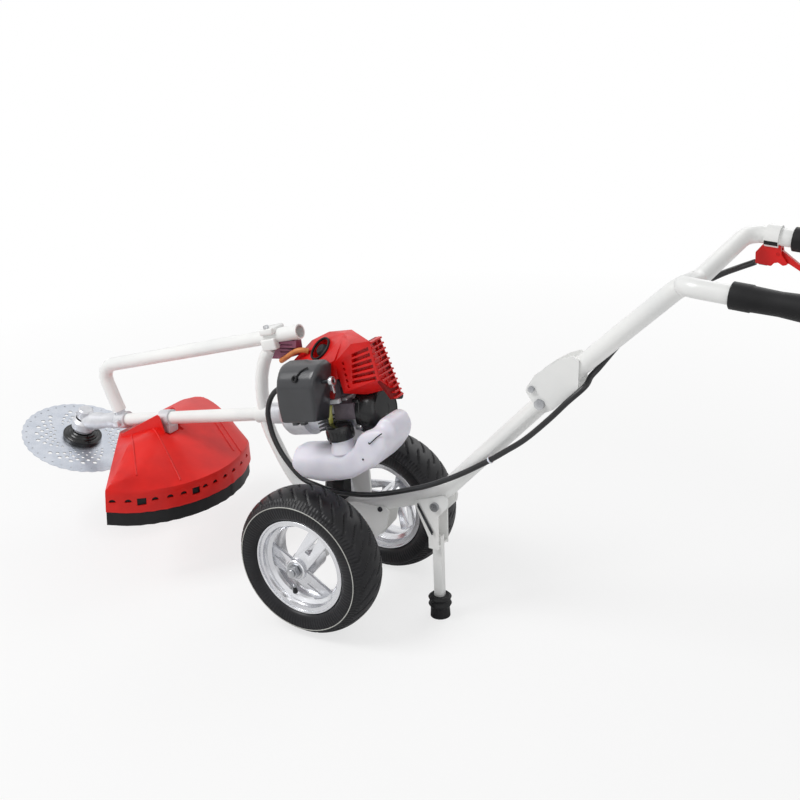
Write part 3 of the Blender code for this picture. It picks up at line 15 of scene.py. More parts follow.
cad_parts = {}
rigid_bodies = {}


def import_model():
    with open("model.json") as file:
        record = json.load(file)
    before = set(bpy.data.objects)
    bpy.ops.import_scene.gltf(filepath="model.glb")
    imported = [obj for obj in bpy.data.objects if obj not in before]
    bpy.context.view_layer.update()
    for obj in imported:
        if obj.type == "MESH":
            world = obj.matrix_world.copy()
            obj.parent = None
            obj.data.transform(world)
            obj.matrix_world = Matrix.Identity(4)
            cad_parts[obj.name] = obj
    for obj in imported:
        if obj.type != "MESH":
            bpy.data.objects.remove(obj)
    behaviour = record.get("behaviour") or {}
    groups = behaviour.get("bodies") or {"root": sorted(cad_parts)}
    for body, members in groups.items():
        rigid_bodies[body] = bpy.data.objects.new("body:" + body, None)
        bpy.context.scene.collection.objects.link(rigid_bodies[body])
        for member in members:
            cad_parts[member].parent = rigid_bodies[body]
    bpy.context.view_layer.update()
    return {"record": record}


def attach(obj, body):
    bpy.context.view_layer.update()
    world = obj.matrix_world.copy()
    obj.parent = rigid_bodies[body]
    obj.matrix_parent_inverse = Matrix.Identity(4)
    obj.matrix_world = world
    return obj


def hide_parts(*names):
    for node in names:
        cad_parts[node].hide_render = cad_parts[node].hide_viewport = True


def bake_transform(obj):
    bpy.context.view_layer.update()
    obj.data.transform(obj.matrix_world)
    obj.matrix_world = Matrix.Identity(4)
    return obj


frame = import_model()

MM = 0.001


def linear(code):
    """Linear RGBA of an sRGB hex colour."""
    channels = [int(code[start:start + 2], 16) / 255 for start in (0, 2, 4)]
    return (*[c / 12.92 if c <= 0.04045 else ((c + 0.055) / 1.055) ** 2.4 for c in channels], 1)


def add_node(tree, kind, inputs=None, **settings):
    """New shader node with its settings, and its inputs filled or linked by name."""
    made = tree.nodes.new(kind)
    for name, value in settings.items():
        setattr(made, name, value)
    for name, value in (inputs or {}).items():
        if isinstance(value, bpy.types.NodeSocket):
            tree.links.new(value, made.inputs[name])
        else:
            made.inputs[name].default_value = value
    return made


def ramp(tree, factor, stops):
    """Colour ramp through (position, colour) stops."""
    made = add_node(tree, "ShaderNodeValToRGB", {"Fac": factor})
    elements = made.color_ramp.elements
    while len(elements) < len(stops):
        elements.new(0.5)
    for element, (position, colour) in zip(elements, stops):
        element.position = position
        element.color = colour
    return made.outputs["Color"]


def spread(tree, factor, low, high):
    """A noise's usual range mapped to low and high."""
    return add_node(tree, "ShaderNodeMapRange", {"Value": factor, "From Min": 0.3, "From Max": 0.7,
                                                 "To Min": low, "To Max": high}).outputs["Result"]


def new_material(name):
    """New material with its tree, shader and own coordinates."""
    made = bpy.data.materials.new(name)
    made.use_nodes = True
    tree = made.node_tree
    place = add_node(tree, "ShaderNodeTexCoord").outputs["Object"]
    return made, tree, tree.nodes["Principled BSDF"], place


def noise(tree, place, size, detail=3, roughness=0.55, distortion=0):
    """Noise whose features are about the given size in metres."""
    return add_node(tree, "ShaderNodeTexNoise",
                    {"Vector": place, "Scale": 1 / size, "Detail": detail,
                     "Roughness": roughness, "Distortion": distortion}).outputs["Fac"]


def surface(name, light, dark, patch, grain, rough, bump, metallic=0, **sockets):
    """Two close colours in soft patches, with a grain that roughens and lifts the surface.

    The moulds' and the paint's real grain is too fine to show at this distance, so it is
    drawn about a millimetre coarse.
    """
    made, tree, shader, place = new_material(name)
    patches = noise(tree, place, patch)
    fine = noise(tree, place, grain, 4)
    tree.links.new(ramp(tree, patches, [(0.35, linear(dark)), (0.65, linear(light))]),
                   shader.inputs["Base Color"])
    tree.links.new(spread(tree, fine, *rough), shader.inputs["Roughness"])
    lift = add_node(tree, "ShaderNodeBump", {"Height": fine, "Strength": bump,
                                             "Distance": grain / 3})
    tree.links.new(lift.outputs["Normal"], shader.inputs["Normal"])
    shader.inputs["Metallic"].default_value = metallic
    for socket, value in sockets.items():
        shader.inputs[socket.replace("_", " ")].default_value = value
    return made


def turned_metal(name, light, dark, rough, turns_per_metre, bump):
    """Metal with fine tool rings about its own Z axis."""
    made, tree, shader, place = new_material(name)
    rings = add_node(tree, "ShaderNodeTexWave",
                     {"Vector": place, "Scale": turns_per_metre, "Distortion": 1.5, "Detail": 2,
                      "Detail Scale": 3},
                     wave_type="RINGS", rings_direction="Z").outputs["Fac"]
    smears = noise(tree, place, 0.030)
    tree.links.new(ramp(tree, smears, [(0.3, linear(dark)), (0.7, linear(light))]),
                   shader.inputs["Base Color"])
    tree.links.new(spread(tree, rings, *rough), shader.inputs["Roughness"])
    lift = add_node(tree, "ShaderNodeBump", {"Height": rings, "Strength": bump,
                                             "Distance": 0.0002})
    tree.links.new(lift.outputs["Normal"], shader.inputs["Normal"])
    shader.inputs["Metallic"].default_value = 1
    return made


MATERIALS = {
    # Powder coat over tube: an even, slightly soft sheen with a faint waviness
    "white_paint": surface("powder_coated_steel_white", "F6F6F4", "EDEEED", 0.12, 0.0012,
                           (0.26, 0.36), 0.02, Coat_Weight=0.2, Coat_Roughness=0.2),
    # Injection-moulded cover: a satin skin with a fine, even texture
    "red_plastic": surface("injection_moulded_nylon_red", "DF1512", "C60C0B", 0.06, 0.0006,
                           (0.32, 0.44), 0.06, Coat_Weight=0.1, Coat_Roughness=0.25,
                           Specular_IOR_Level=0.35),
    # Moulded guard: a duller, waxy red with broad flow patches
    "guard_plastic": surface("injection_moulded_polypropylene_red", "E41B12", "CE100B", 0.09,
                             0.0008, (0.36, 0.48), 0.08, Specular_IOR_Level=0.35),
    # Spark-eroded mould: a leathery charcoal with soft highlights
    "black_plastic": surface("textured_moulded_plastic_charcoal", "313236", "28292C", 0.07,
                             0.0005, (0.26, 0.38), 0.10, Coat_Weight=0.3, Coat_Roughness=0.3),
    # Polished mould: a black that catches sharp lines of light
    "starter_plastic": surface("glossy_moulded_plastic_black", "1E1F21", "141516", 0.05, 0.0006,
                               (0.18, 0.30), 0.06, Specular_IOR_Level=0.4),
    # Moulded rubber: matt, nearly black
    "rubber": surface("moulded_rubber_black", "161618", "0E0E10", 0.03, 0.0007, (0.42, 0.60), 0.1,
                      Specular_IOR_Level=0.3),
    # Cured in a mould: a satin black whose flanks pick up long highlights
    "tyre": surface("vulcanised_tyre_rubber", "18181C", "0D0D10", 0.05, 0.0010, (0.30, 0.46), 0.12,
                    Specular_IOR_Level=0.3),
    # Pale line on the ridge of the tyre's flank: partly the tyre's own pale line, partly a painted
    # highlight along the ridge
    "line_rubber": surface("pale_rubber_line", "C9C9C4", "B4B4AE", 0.03, 0.0008, (0.4, 0.6), 0.1),
    # Extruded sleeve: one smooth highlight along its length
    "conduit": surface("extruded_conduit_black", "202124", "17181A", 0.03, 0.0006, (0.28, 0.42),
                       0.08),
    # Sand cast: a pale grey broken by coarse grain
    "cast_aluminium": surface("sand_cast_aluminium", "DADBDE", "C9CACF", 0.030, 0.0011,
                              (0.34, 0.52), 0.22, metallic=0.4),
    # The same casting darkened to a dull mauve grey as painted shade
    "painted_shade_alloy": surface("phosphated_cast_alloy_grey", "6E646C", "5A525A", 0.02, 0.0010,
                            (0.45, 0.62), 0.2, metallic=0.2),
    # Die cast, then polished: bright, with blurred reflections
    "wheel_alloy": surface("polished_die_cast_alloy", "E6E7EA", "DADBDF", 0.08, 0.0008,
                           (0.16, 0.28), 0.04, metallic=0.8),
    # Zinc plate: mottled bright and grey
    "steel": surface("zinc_plated_steel", "C8C9CB", "A5A7AB", 0.02, 0.0008, (0.22, 0.38), 0.1,
                     metallic=1),
    # Oil-blued: dark, with a thin shine
    "dark_steel": surface("blued_steel", "4A4B4E", "303134", 0.02, 0.0008, (0.3, 0.5), 0.15,
                          metallic=1),
    # Turned on a lathe: fine rings that fan the light about the centre
    "disc_steel": turned_metal("turned_tool_steel", "D2D6DE", "C2C8D2", (0.26, 0.40), 260, 0.2),
    # Blow-moulded: milky, with light carried a little way inside
    "tank_plastic": surface("blow_moulded_polyethylene_white", "F1EFF8", "E2E0EC", 0.08, 0.0012,
                            (0.30, 0.44), 0.06, Subsurface_Weight=0.12, Subsurface_Scale=0.01),
    # Drawn hose, stained yellow by fuel
    "clear_hose": surface("fuel_hose_yellow_green", "D2D27A", "B9B95C", 0.02, 0.0008,
                          (0.15, 0.3), 0.05),
    # Silicone lead: soft orange
    "orange_lead": surface("silicone_lead_orange", "D98A4A", "B86A34", 0.02, 0.0007, (0.4, 0.6),
                           0.1),
    # The cover's red darkened as painted shade behind its grille, also used on the carburettor
    # lever
    "painted_shade_red": surface("injection_moulded_nylon_recess", "8E0F0D", "740A09", 0.05, 0.0006,
                          (0.45, 0.6), 0.06, Specular_IOR_Level=0.3),
    # Small moulded block behind the coil
    "mauve_plastic": surface("moulded_plastic_mauve", "8A4A62", "6E3850", 0.02, 0.0007,
                             (0.35, 0.5), 0.1),
}

# Clearances
GAP = 0.3 * MM
RUNNING_GAP = 0.5 * MM

# Wheels and axle
TYRE_RADIUS = 0.141
TYRE_HALF_WIDTH = 0.046
TRACK = 0.280
RIM_LIP_RADIUS = 0.093
RIM_HALF_WIDTH = 0.039
WHEEL_STEPS = 30
HUB_RADIUS = 0.021
HUB_OUTER_END = 0.050
HUB_INNER_END = 0.020
SLASHES = 30
NOTCHES = 120
RIBS = 120
BEARING_RADIUS = 0.016
BEARING_WIDTH = 0.009
AXLE_RADIUS = 0.0075
AXLE_NUT_WIDTH = 0.010
AXLE_STUB = 0.003

# Frame tubes
MAIN_TUBE_RADIUS = 0.016
HOOP_RADIUS = 0.0125
ARM_RADIUS = 0.014
ARM_WALL = 0.0025
STUB_CLEARANCE = 0.9 * MM
SHAFT_TUBE_RADIUS = 0.013
SHAFT_TUBE_WALL = 0.0016
AXLE_TUBE_RADIUS = 0.015
PLATE_THICKNESS = 0.003

# Drive line: distances along the shaft axis, measured from above the axle
SHAFT_SLOPE = math.radians(12.07)
SHAFT_HEIGHT = 0.2426
HEAD_AT = -0.6995
BLADE_TILT = math.radians(18.6)
DISC_DROP = 0.041
ARM_CLAMP_AT = -0.5788
GUARD_CLAMP_AT = -0.451
SLEEVE_AT = -0.1922
SLEEVE_LENGTH = 0.030
SLEEVE_RADIUS = 0.0172
COLLAR_LENGTH = 0.026
HOOP_CLEARANCE = 0.0015
CLUTCH_REAR_AT = -0.082
HEAD_NECK_START = 0.055
HEAD_NECK_END = 0.106
DRIVE_SHAFT_RADIUS = 0.004

# Bevel gears
PINION_TEETH = 14
GEAR_TEETH = 19
CONE_DISTANCE = 0.016
GEAR_FACE = 0.0055
TOOTH_TIP = 0.0008
TOOTH_ROOT = 0.0015

# Blade
DISC_RADIUS = 0.1275
DISC_THICKNESS = 0.0016
DISC_BORE = 0.0127
DISC_TEETH = 36
DUST_CUP_RADIUS = 0.041

# Guard
GUARD_PITCH = math.radians(5)
GUARD_RADIUS = 0.245
GUARD_WALL = 0.003
GUARD_DROP = 0.0725
GUARD_CENTRE_AHEAD = 0.102
GUARD_FRONT = -0.034
GUARD_NEAR_END = -60
SKIRT_DEPTH = 0.044
STRIP_DEPTH = 0.074

# Handle
PIVOT_X = 0.403
PIVOT_RISE = 0.331
STEM_RADIUS = 0.016
BAR_RADIUS = 0.014
BAR_HALF_SPREAD = 0.163
GRIP_LENGTH = 0.132
GRIP_WALL = 0.0035
FORK = (0.248, 0.235)
BAR_CORNER_AHEAD = 0.070
GRIP_START = (0.347, 0.270)
BAR_SLOPE = math.radians(-4)
THROTTLE_AT = -0.031

# Stand
STAND_PIVOT_X = 0.197
STAND_PIVOT_RISE = 0.096
FOOT_X = 0.1905
FOOT_HEIGHT = 0.044
FOOT_RADIUS = 0.022
LEG_WIDTH = 0.018
LEG_DEPTH = 0.012

# Engine
CRANKCASE_RADIUS = 0.034
CRANKCASE_REAR_AT = 0.0516
CYLINDER_BASE = 0.034
CYLINDER_TOP = 0.100
CYLINDER_RADIUS = 0.033
SHROUD_NEAR = -0.052
MUFFLER_FAR = 0.072
STARTER_RADIUS = 0.042
PLUG_OPENING = (-0.0115, -0.013, 0.1238)
CARBURETTOR_NEAR = -0.0597
TANK_NEAR = -0.083
CAP_AT = (0.022, -0.058, -0.034)
CABLE_RADIUS = 0.005

# Orientations
UPRIGHT = (math.pi / 2, 0, 0)
ALONG_X = (0, math.pi / 2, 0)
ALONG_Y = (-math.pi / 2, 0, 0)

parts = bpy.data.collections.new("looks")
guides = bpy.data.collections.new("cutters")
bpy.context.scene.collection.children.link(parts)
bpy.context.scene.collection.children.link(guides)


def mm(points):
    """Millimetre pairs or triples as metres."""
    return [tuple(value * MM for value in point) for point in points]


def seat(name, parent=None, at=(0, 0, 0), turn=(0, 0, 0)):
    """An empty that carries pieces at its place and angle."""
    empty = bpy.data.objects.new(name, None)
    empty.parent = parent
    empty.location = at
    empty.rotation_euler = turn
    parts.objects.link(empty)
    return empty


def put(name, data, parent, at, turn, material):
    """A part of the object, or a guide where it has no material."""
    if material and "." not in name:
        name += ".look"
    piece = bpy.data.objects.new(name, data)
    piece.parent = parent
    piece.location = at
    piece.rotation_euler = turn
    if material:
        parts.objects.link(piece)
        data.materials.append(MATERIALS[material])
        piece["finish"] = material
    else:
        guides.objects.link(piece)
        piece.hide_render = True
        piece.display_type = "WIRE"
    return piece


def turned(name, profile, steps, parent, at=(0, 0, 0), turn=(0, 0, 0), material=None, ring=False):
    """Turned solid about local Z; its (radius, height) profile runs down the outer side."""
    count = len(profile)
    edges = [(index, index + 1) for index in range(count - 1)]
    if ring:
        edges.append((count - 1, 0))
    mesh = bpy.data.meshes.new(name)
    mesh.from_pydata([(radius, 0, height) for radius, height in profile], edges, [])
    piece = put(name, mesh, parent, at, turn, material)
    screw = piece.modifiers.new("turn", "SCREW")
    screw.steps = steps * 4
    screw.render_steps = steps * 4
    screw.use_merge_vertices = True
    screw.merge_threshold = 0.00001
    return piece


def plate(name, outline, thickness, parent, at=(0, 0, 0), turn=UPRIGHT, material=None, holes=()):
    """Flat outline with holes, as thick as given, centred on its own plane."""
    curve = bpy.data.curves.new(name, "CURVE")
    curve.dimensions = "2D"
    curve.fill_mode = "BOTH"
    curve.extrude = thickness / 2
    for loop in (outline, *holes):
        spline = curve.splines.new("POLY")
        spline.points.add(len(loop) - 1)
        for point, (across, up) in zip(spline.points, loop):
            point.co = (across, up, 0, 1)
        spline.use_cyclic_u = True
    return put(name, curve, parent, at, turn, material)


def tube(name, route, radius, sides, parent, at=(0, 0, 0), turn=(0, 0, 0), material=None, wall=0):
    """Round tube along a route; hollow with open ends where a wall is given."""
    curve = bpy.data.curves.new(name, "CURVE")
    curve.dimensions = "3D"
    curve.bevel_depth = radius
    curve.bevel_resolution = sides - 2
    curve.use_fill_caps = not wall
    spline = curve.splines.new("POLY")
    spline.points.add(len(route) - 1)
    for point, place in zip(spline.points, route):
        point.co = (*place, 1)
    piece = put(name, curve, parent, at, turn, material)
    if wall:
        shell = piece.modifiers.new("wall", "SOLIDIFY")
        shell.thickness = wall
        shell.offset = -1
        shell.use_even_offset = True
    return piece


def primitive(name, make, parent, at, turn, material):
    """Object from one bmesh primitive, which the make function adds."""
    shape = bmesh.new()
    make(shape)
    mesh = bpy.data.meshes.new(name)
    shape.to_mesh(mesh)
    shape.free()
    return put(name, mesh, parent, at, turn, material)


def box(name, size, parent, at=(0, 0, 0), turn=(0, 0, 0), material=None, bevel=0, segments=2):
    """Block with rounded edges."""
    def make(shape):
        bmesh.ops.create_cube(shape, size=1, matrix=Matrix.Diagonal((*size, 1)))
    piece = primitive(name, make, parent, at, turn, material)
    if bevel:
        round_edges(piece, bevel, segments)
    return piece


def rod(name, radius, length, sides, parent, at=(0, 0, 0), turn=(0, 0, 0), material=None):
    """Cylinder centred on its place, along local Z."""
    def make(shape):
        bmesh.ops.create_cone(shape, cap_ends=True, segments=sides * 3, radius1=radius,
                              radius2=radius, depth=length)
    return primitive(name, make, parent, at, turn, material)


def hull(name, points, parent, material=None):
    """Convex body around its corners, given in millimetres."""
    def make(shape):
        for point in points:
            shape.verts.new(Vector(point) * MM)
        made = bmesh.ops.convex_hull(shape, input=shape.verts)
        spare = made["geom_interior"] + made["geom_unused"]
        spare = {item for item in spare if isinstance(item, bmesh.types.BMVert)}
        bmesh.ops.delete(shape, geom=list(spare), context="VERTS")
        bmesh.ops.dissolve_limit(shape, angle_limit=0.03, verts=shape.verts, edges=shape.edges)
    return primitive(name, make, parent, (0, 0, 0), (0, 0, 0), material)


def soften(piece, voxel, rounds):
    """Merge a closed piece's overlapping bodies and round it like a blown form."""
    merge = piece.modifiers.new("merge", "REMESH")
    merge.mode = "VOXEL"
    merge.voxel_size = voxel
    ease = piece.modifiers.new("ease", "SMOOTH")
    ease.factor = 0.5
    ease.iterations = rounds
    return piece


def loose(piece, *tools):
    """Add the tools' bodies to the piece without a boolean step."""
    shape = bmesh.new()
    piece = as_mesh(piece)
    shape.from_mesh(piece.data)
    for tool in tools:
        other = as_mesh(tool)
        shape.from_mesh(other.data)
        bpy.data.objects.remove(other)
    shape.to_mesh(piece.data)
    shape.free()
    return piece


def weld(mesh):
    """Merge the points that lie on each other."""
    shape = bmesh.new()
    shape.from_mesh(mesh)
    bmesh.ops.remove_doubles(shape, verts=shape.verts, dist=0.000002)
    shape.to_mesh(mesh)
    shape.free()


def as_mesh(piece):
    """The piece's curve as a welded mesh in the same place."""
    if piece.type == "MESH":
        return piece
    mesh = bpy.data.meshes.new_from_object(piece)
    weld(mesh)
    name = piece.name
    solid = bpy.data.objects.new(name, mesh)
    for home in piece.users_collection:
        home.objects.link(solid)
    solid.parent = piece.parent
    solid.location = piece.location
    solid.rotation_euler = piece.rotation_euler
    solid.hide_render = piece.hide_render
    if "finish" in piece:
        solid["finish"] = piece["finish"]
    solid.display_type = piece.display_type
    bpy.data.objects.remove(piece)
    solid.name = name
    return solid


def round_edges(piece, width, segments=2, angle=30):
    """Round every edge sharper than the angle."""
    bevel = piece.modifiers.new("edges", "BEVEL")
    bevel.width = width
    bevel.segments = segments + 1
    bevel.limit_method = "ANGLE"
    bevel.angle_limit = math.radians(angle)


def combine(piece, tools, operation):
    """Join the tools to the piece, or cut them out of it, in one exact step."""
    piece = as_mesh(piece)
    group = bpy.data.collections.new(f"{piece.name}_{operation.lower()}")
    guides.children.link(group)
    for tool in tools:
        group.objects.link(as_mesh(tool))
    change = piece.modifiers.new(operation.lower(), "BOOLEAN")
    change.operation = operation
    change.solver = "EXACT"
    change.operand_type = "COLLECTION"
    change.collection = group
    return piece


def cut(piece, *tools):
    """Take the tools away from the piece."""
    return combine(piece, tools, "DIFFERENCE")


def join(piece, *tools):
    """Grow the tools and the piece into one body."""
    return combine(piece, tools, "UNION")


def arc(centre, radius, start, end, steps):
    """Points on an arc, angles in degrees."""
    return [(centre[0] + radius * math.cos(math.radians(start + (end - start) * step / steps)),
             centre[1] + radius * math.sin(math.radians(start + (end - start) * step / steps)))
            for step in range(steps + 1)]


def rounded_corner(before, corner, after, radius, steps):
    """Arc of the given radius that replaces a corner."""
    corner = Vector(corner)
    come = (Vector(before) - corner).normalized()
    leave = (Vector(after) - corner).normalized()
    half = come.angle(leave) / 2
    setback = radius / math.tan(half)
    centre = corner + (come + leave).normalized() * radius / math.sin(half)
    first = corner + come * setback - centre
    last = corner + leave * setback - centre
    turn = math.pi - 2 * half
    return [centre + (first * math.sin(turn * (1 - step / steps))
                      + last * math.sin(turn * step / steps)) / math.sin(turn)
            for step in range(steps + 1)]


def rounded_route(points, radius, steps=4):
    """Open route whose inner corners are arcs."""
    route = [Vector(points[0])]
    for before, corner, after in zip(points, points[1:], points[2:]):
        route += rounded_corner(before, corner, after, radius, steps)
    route.append(Vector(points[-1]))
    return route


def rounded_outline(points, radius, steps=3):
    """Closed outline whose corners are arcs; a third value is that corner's own radius."""
    outline = []
    count = len(points)
    for index, corner in enumerate(points):
        own = corner[2] if len(corner) > 2 else radius
        before = points[index - 1][:2]
        after = points[(index + 1) % count][:2]
        if own:
            outline += [tuple(place) for place in
                        rounded_corner(before, corner[:2], after, own, steps)]
        else:
            outline.append(tuple(corner[:2]))
    return outline


def smooth_route(points, per_span):
    """Smooth curve through a route's own points."""
    places = [Vector(point) for point in points]
    ends = [places[0] * 2 - places[1], *places, places[-1] * 2 - places[-2]]
    route = []
    for before, start, end, after in zip(ends, ends[1:], ends[2:], ends[3:]):
        for step in range(per_span):
            share = step / per_span
            route.append(0.5 * (2 * start + (end - before) * share
                                + (2 * before - 5 * start + 4 * end - after) * share ** 2
                                + (3 * start - before - 3 * end + after) * share ** 3))
    return [*route, places[-1]]


def upright(points):
    """Points in the X-Z plane as 3-D points."""
    return [(across, 0, up) for across, up in points]


# Direction out of the cover's sloping front
PLUG_OUTWARD = (-0.344, -0.8, 1)

# Seats: every piece is placed on one of these
axle = seat("axle_seat", at=(-FOOT_X, 0, TYRE_RADIUS))
engine = seat("engine_seat", axle, (0, 0, SHAFT_HEIGHT), (0, -SHAFT_SLOPE, 0))
head = seat("gear_head_seat", engine, (HEAD_AT, 0, 0), (0, SHAFT_SLOPE + BLADE_TILT, 0))
guard_seat = seat("guard_seat", engine, (GUARD_CLAMP_AT, 0, 0), (0, SHAFT_SLOPE + GUARD_PITCH, 0))
handle = seat("handle_seat", axle, (PIVOT_X, 0, PIVOT_RISE))
stand = seat("stand_seat", axle, (STAND_PIVOT_X, 0, STAND_PIVOT_RISE))
wheel_seats = {
    "left": seat("left_wheel_seat", axle, (0, -TRACK / 2, 0), (math.pi / 2, 0, 0)),
    "right": seat("right_wheel_seat", axle, (0, TRACK / 2, 0), (-math.pi / 2, 0, 0)),
}


def on_shaft(distance, rise=0):
    """Chassis (x, z) of a point on the shaft axis, or above it square to the axis."""
    return (distance * math.cos(SHAFT_SLOPE) - rise * math.sin(SHAFT_SLOPE),
            SHAFT_HEIGHT + distance * math.sin(SHAFT_SLOPE) + rise * math.cos(SHAFT_SLOPE))


def bearing_profile():
    """Sealed ball bearing with its seal set in on both faces."""
    half = BEARING_WIDTH / 2
    bore = AXLE_RADIUS + GAP
    middle = (BEARING_RADIUS + bore) / 2
    return [(BEARING_RADIUS, half), (BEARING_RADIUS, -half), (middle, 0.0006 - half),
            (bore, -half), (bore, half), (middle, half - 0.0006)]


def build_wheel(side):
    carrier = wheel_seats[side]
    build_tyre(side, carrier)
    build_rim(side, carrier)
    outer = HUB_OUTER_END - BEARING_WIDTH / 2
    inner = BEARING_WIDTH / 2 - HUB_INNER_END
    for place, height in (("outer", outer), ("inner", inner)):
        turned(f"{side}_{place}_bearing", bearing_profile(), 12, carrier, (0, 0, height),
               material="steel", ring=True)
    nut_height = HUB_OUTER_END + RUNNING_GAP + AXLE_NUT_WIDTH / 2
    bore_loop = arc((0, 0), AXLE_RADIUS + GAP, 0, 352, 44)
    hexagon = rounded_outline(arc((0, 0), 0.0125, 0, 300, 5), 0.0012, 2)
    nut = as_mesh(plate(f"{side}_axle_nut", hexagon, AXLE_NUT_WIDTH, carrier, (0, 0, nut_height),
                        (0, 0, 0), material="steel", holes=[bore_loop]))
    round_edges(nut, 0.0008, 1)


def tyre_section():
    """Outside of the tyre from the outer bead over the crown: (radius, height, share of crown)."""
    r = TYRE_RADIUS
    w = TYRE_HALF_WIDTH
    half = [(0.0832, 0.0350), (0.0905, 0.0362), (0.0938, 0.0372), (0.0955, 0.0400),
            (0.0985, 0.0425), (0.1020, w - 0.0020), (0.1060, w - 0.0009), (0.1100, w - 0.0002),
            (0.1140, w), (0.1180, w), (0.1208, w - 0.0003), (0.1216, w + 0.0004),
            (0.1226, w + 0.0004), (0.1234, w - 0.0006), (0.1262, w - 0.0030),
            (0.1290, w - 0.0068), (0.1312, w - 0.0100)]
    crown = []
    shoulder = w - 0.0130
    for step in range(10):
        height = shoulder * (1 - step / 10)
        drop = 0.0068 * (height / shoulder) ** 2.4
        crown.append((r - drop, height))
    half += crown
    return half + [(r, 0)] + [(radius, -height) for radius, height in reversed(half)]


def tread_depth(angle, height):
    """How far the tread drops at a place: curved slashes on each half, and shoulder notches."""
    side = 1 if height >= 0 else -1
    across = abs(height) / (TYRE_HALF_WIDTH - 0.0130)
    if across < 1.02:
        curve = 1.05 * across ** 1.3 + (0.5 if side < 0 else 0)
        phase = (side * angle * SLASHES / math.tau + curve) % 1
        off_line = abs(phase - 0.5) * math.tau * TYRE_RADIUS / SLASHES
        reach = min(1, max(0, (across - 0.05) / 0.08))
        return 0.0026 * reach * max(0, min(1, (0.0026 - off_line) / 0.0012))
    notch = (angle * NOTCHES / math.tau) % 1
    return 0.0016 if notch < 0.42 else 0


def build_tyre(side, carrier):
    """Tyre with slash tread, notched shoulders, a ribbed side and a pale line."""
    section = tyre_section()
    steps = 720
    points = []
    for step in range(steps):
        angle = math.tau * step / steps
        for radius, height in section:
            drop = 0
            if radius > 0.1255:
                drop = tread_depth(angle, height)
            sideways = 0
            if 0.1015 < radius < 0.1195 and (angle * RIBS / math.tau) % 1 < 0.5:
                sideways = 0.0005 * (1 if height > 0 else -1)
            points.append(((radius - drop) * math.cos(angle), (radius - drop) * math.sin(angle),
                           height - sideways))
    count = len(section)
    faces = []
    for step in range(steps):
        here = step * count
        ahead = (step + 1) % steps * count
        for index in range(count):
            follow = (index + 1) % count
            faces.append((here + index, ahead + index, ahead + follow, here + follow))
    mesh = bpy.data.meshes.new(f"{side}_tyre")
    mesh.from_pydata(points, [], faces)
    put(f"{side}_tyre", mesh, carrier, (0, 0, 0), (0, 0, 0), "tyre")
    line = TYRE_HALF_WIDTH + 0.0004
    section = [(0.1213, line), (0.1215, line + 0.0004), (0.1225, line + 0.0004), (0.1229, line),
               (0.1229, line - 0.002), (0.1213, line - 0.002)]
    # The pale ring is partly a painted highlight on the flank's ridge
    turned(f"{side}_tyre.pale_line", section, 36, carrier, material="line_rubber", ring=True)


def build_rim(side, carrier):
    """Polished rim with rolled lips, three wide spokes, a hub and a valve."""
    lip = RIM_LIP_RADIUS
    edge = RIM_HALF_WIDTH
    outer = [(lip, edge - 0.0005), (lip, edge - 0.003), (0.082, edge - 0.003),
             (0.082, edge - 0.012), (0.073, edge - 0.019)]
    outer += [(radius, -height) for radius, height in reversed(outer)]
    inner = [(lip - 0.0007, edge + 0.0003), (lip - 0.0020, edge + 0.0006),
             (lip - 0.0036, edge + 0.0003), (lip - 0.0044, edge - 0.0010), (0.0880, edge - 0.0040),
             (0.0872, edge - 0.0052), (0.0838, edge - 0.0066), (0.0820, edge - 0.0090),
             (0.0800, edge - 0.0130), (0.0765, edge - 0.0190), (0.0735, edge - 0.0250),
             (0.0710, edge - 0.0310), (0.0700, 0.0020)]
    inner += [(radius, -height) for radius, height in reversed(inner)]
    rim = turned(f"{side}_rim", outer + list(reversed(inner)), WHEEL_STEPS, carrier,
                 material="wheel_alloy", ring=True)
    turned(f"{side}_rim.hub", [(0.0185, HUB_OUTER_END), (0.0200, HUB_OUTER_END - 0.0015),
                               (0.0215, 0.036), (0.0250, 0.022), (0.0230, 0.004),
                               (HUB_RADIUS, -HUB_INNER_END), (0.0165, -HUB_INNER_END),
                               (0.0165, HUB_OUTER_END)], 16, carrier,
           material="wheel_alloy", ring=True)
    for spoke in range(3):
        middle = math.radians(60 + 120 * spoke)
        build_spoke(f"{side}_rim.spoke_{spoke}", middle, carrier)
    stem = math.radians(249)
    place = (0.060 * math.cos(stem), 0.060 * math.sin(stem), 0.026)
    lean = Vector((math.cos(stem), math.sin(stem), -0.55)).to_track_quat("-Z", "Y").to_euler()
    turned(f"{side}_rim.valve", [(0, 0.012), (0.0018, 0.012), (0.0024, 0.010), (0.0030, 0.004),
                                 (0.0042, -0.002), (0.0050, -0.010), (0, -0.010)], 8, carrier,
           place, lean, "rubber")
    turned(f"{side}_rim.valve_cap", [(0, 0.0185), (0.0022, 0.0180), (0.0028, 0.0165),
                                     (0.0028, 0.0115), (0, 0.0115)], 8, carrier, place, lean,
           "steel")
    return rim


def build_spoke(name, middle, carrier):
    """Wide dished spoke with a wedge opening that narrows to the rim."""
    outline = [(0.010, -0.017), (0.030, -0.019), (0.0705, -0.0215), (0.0735, 0),
               (0.0705, 0.0215), (0.030, 0.019), (0.010, 0.017)]
    wedge = [(0.034, -0.0055), (0.034, 0.0055), (0.068, 0.0008), (0.068, -0.0008)]
    spoke = as_mesh(plate(name, outline, 0.0075, carrier, (0, 0, 0), (0, 0, middle),
                          "wheel_alloy", holes=[wedge]))
    for corner in spoke.data.vertices:
        along = corner.co.x
        corner.co.z += 0.0365 - 0.0215 * (along - 0.018) / 0.052
    round_edges(spoke, 0.0012, 1)


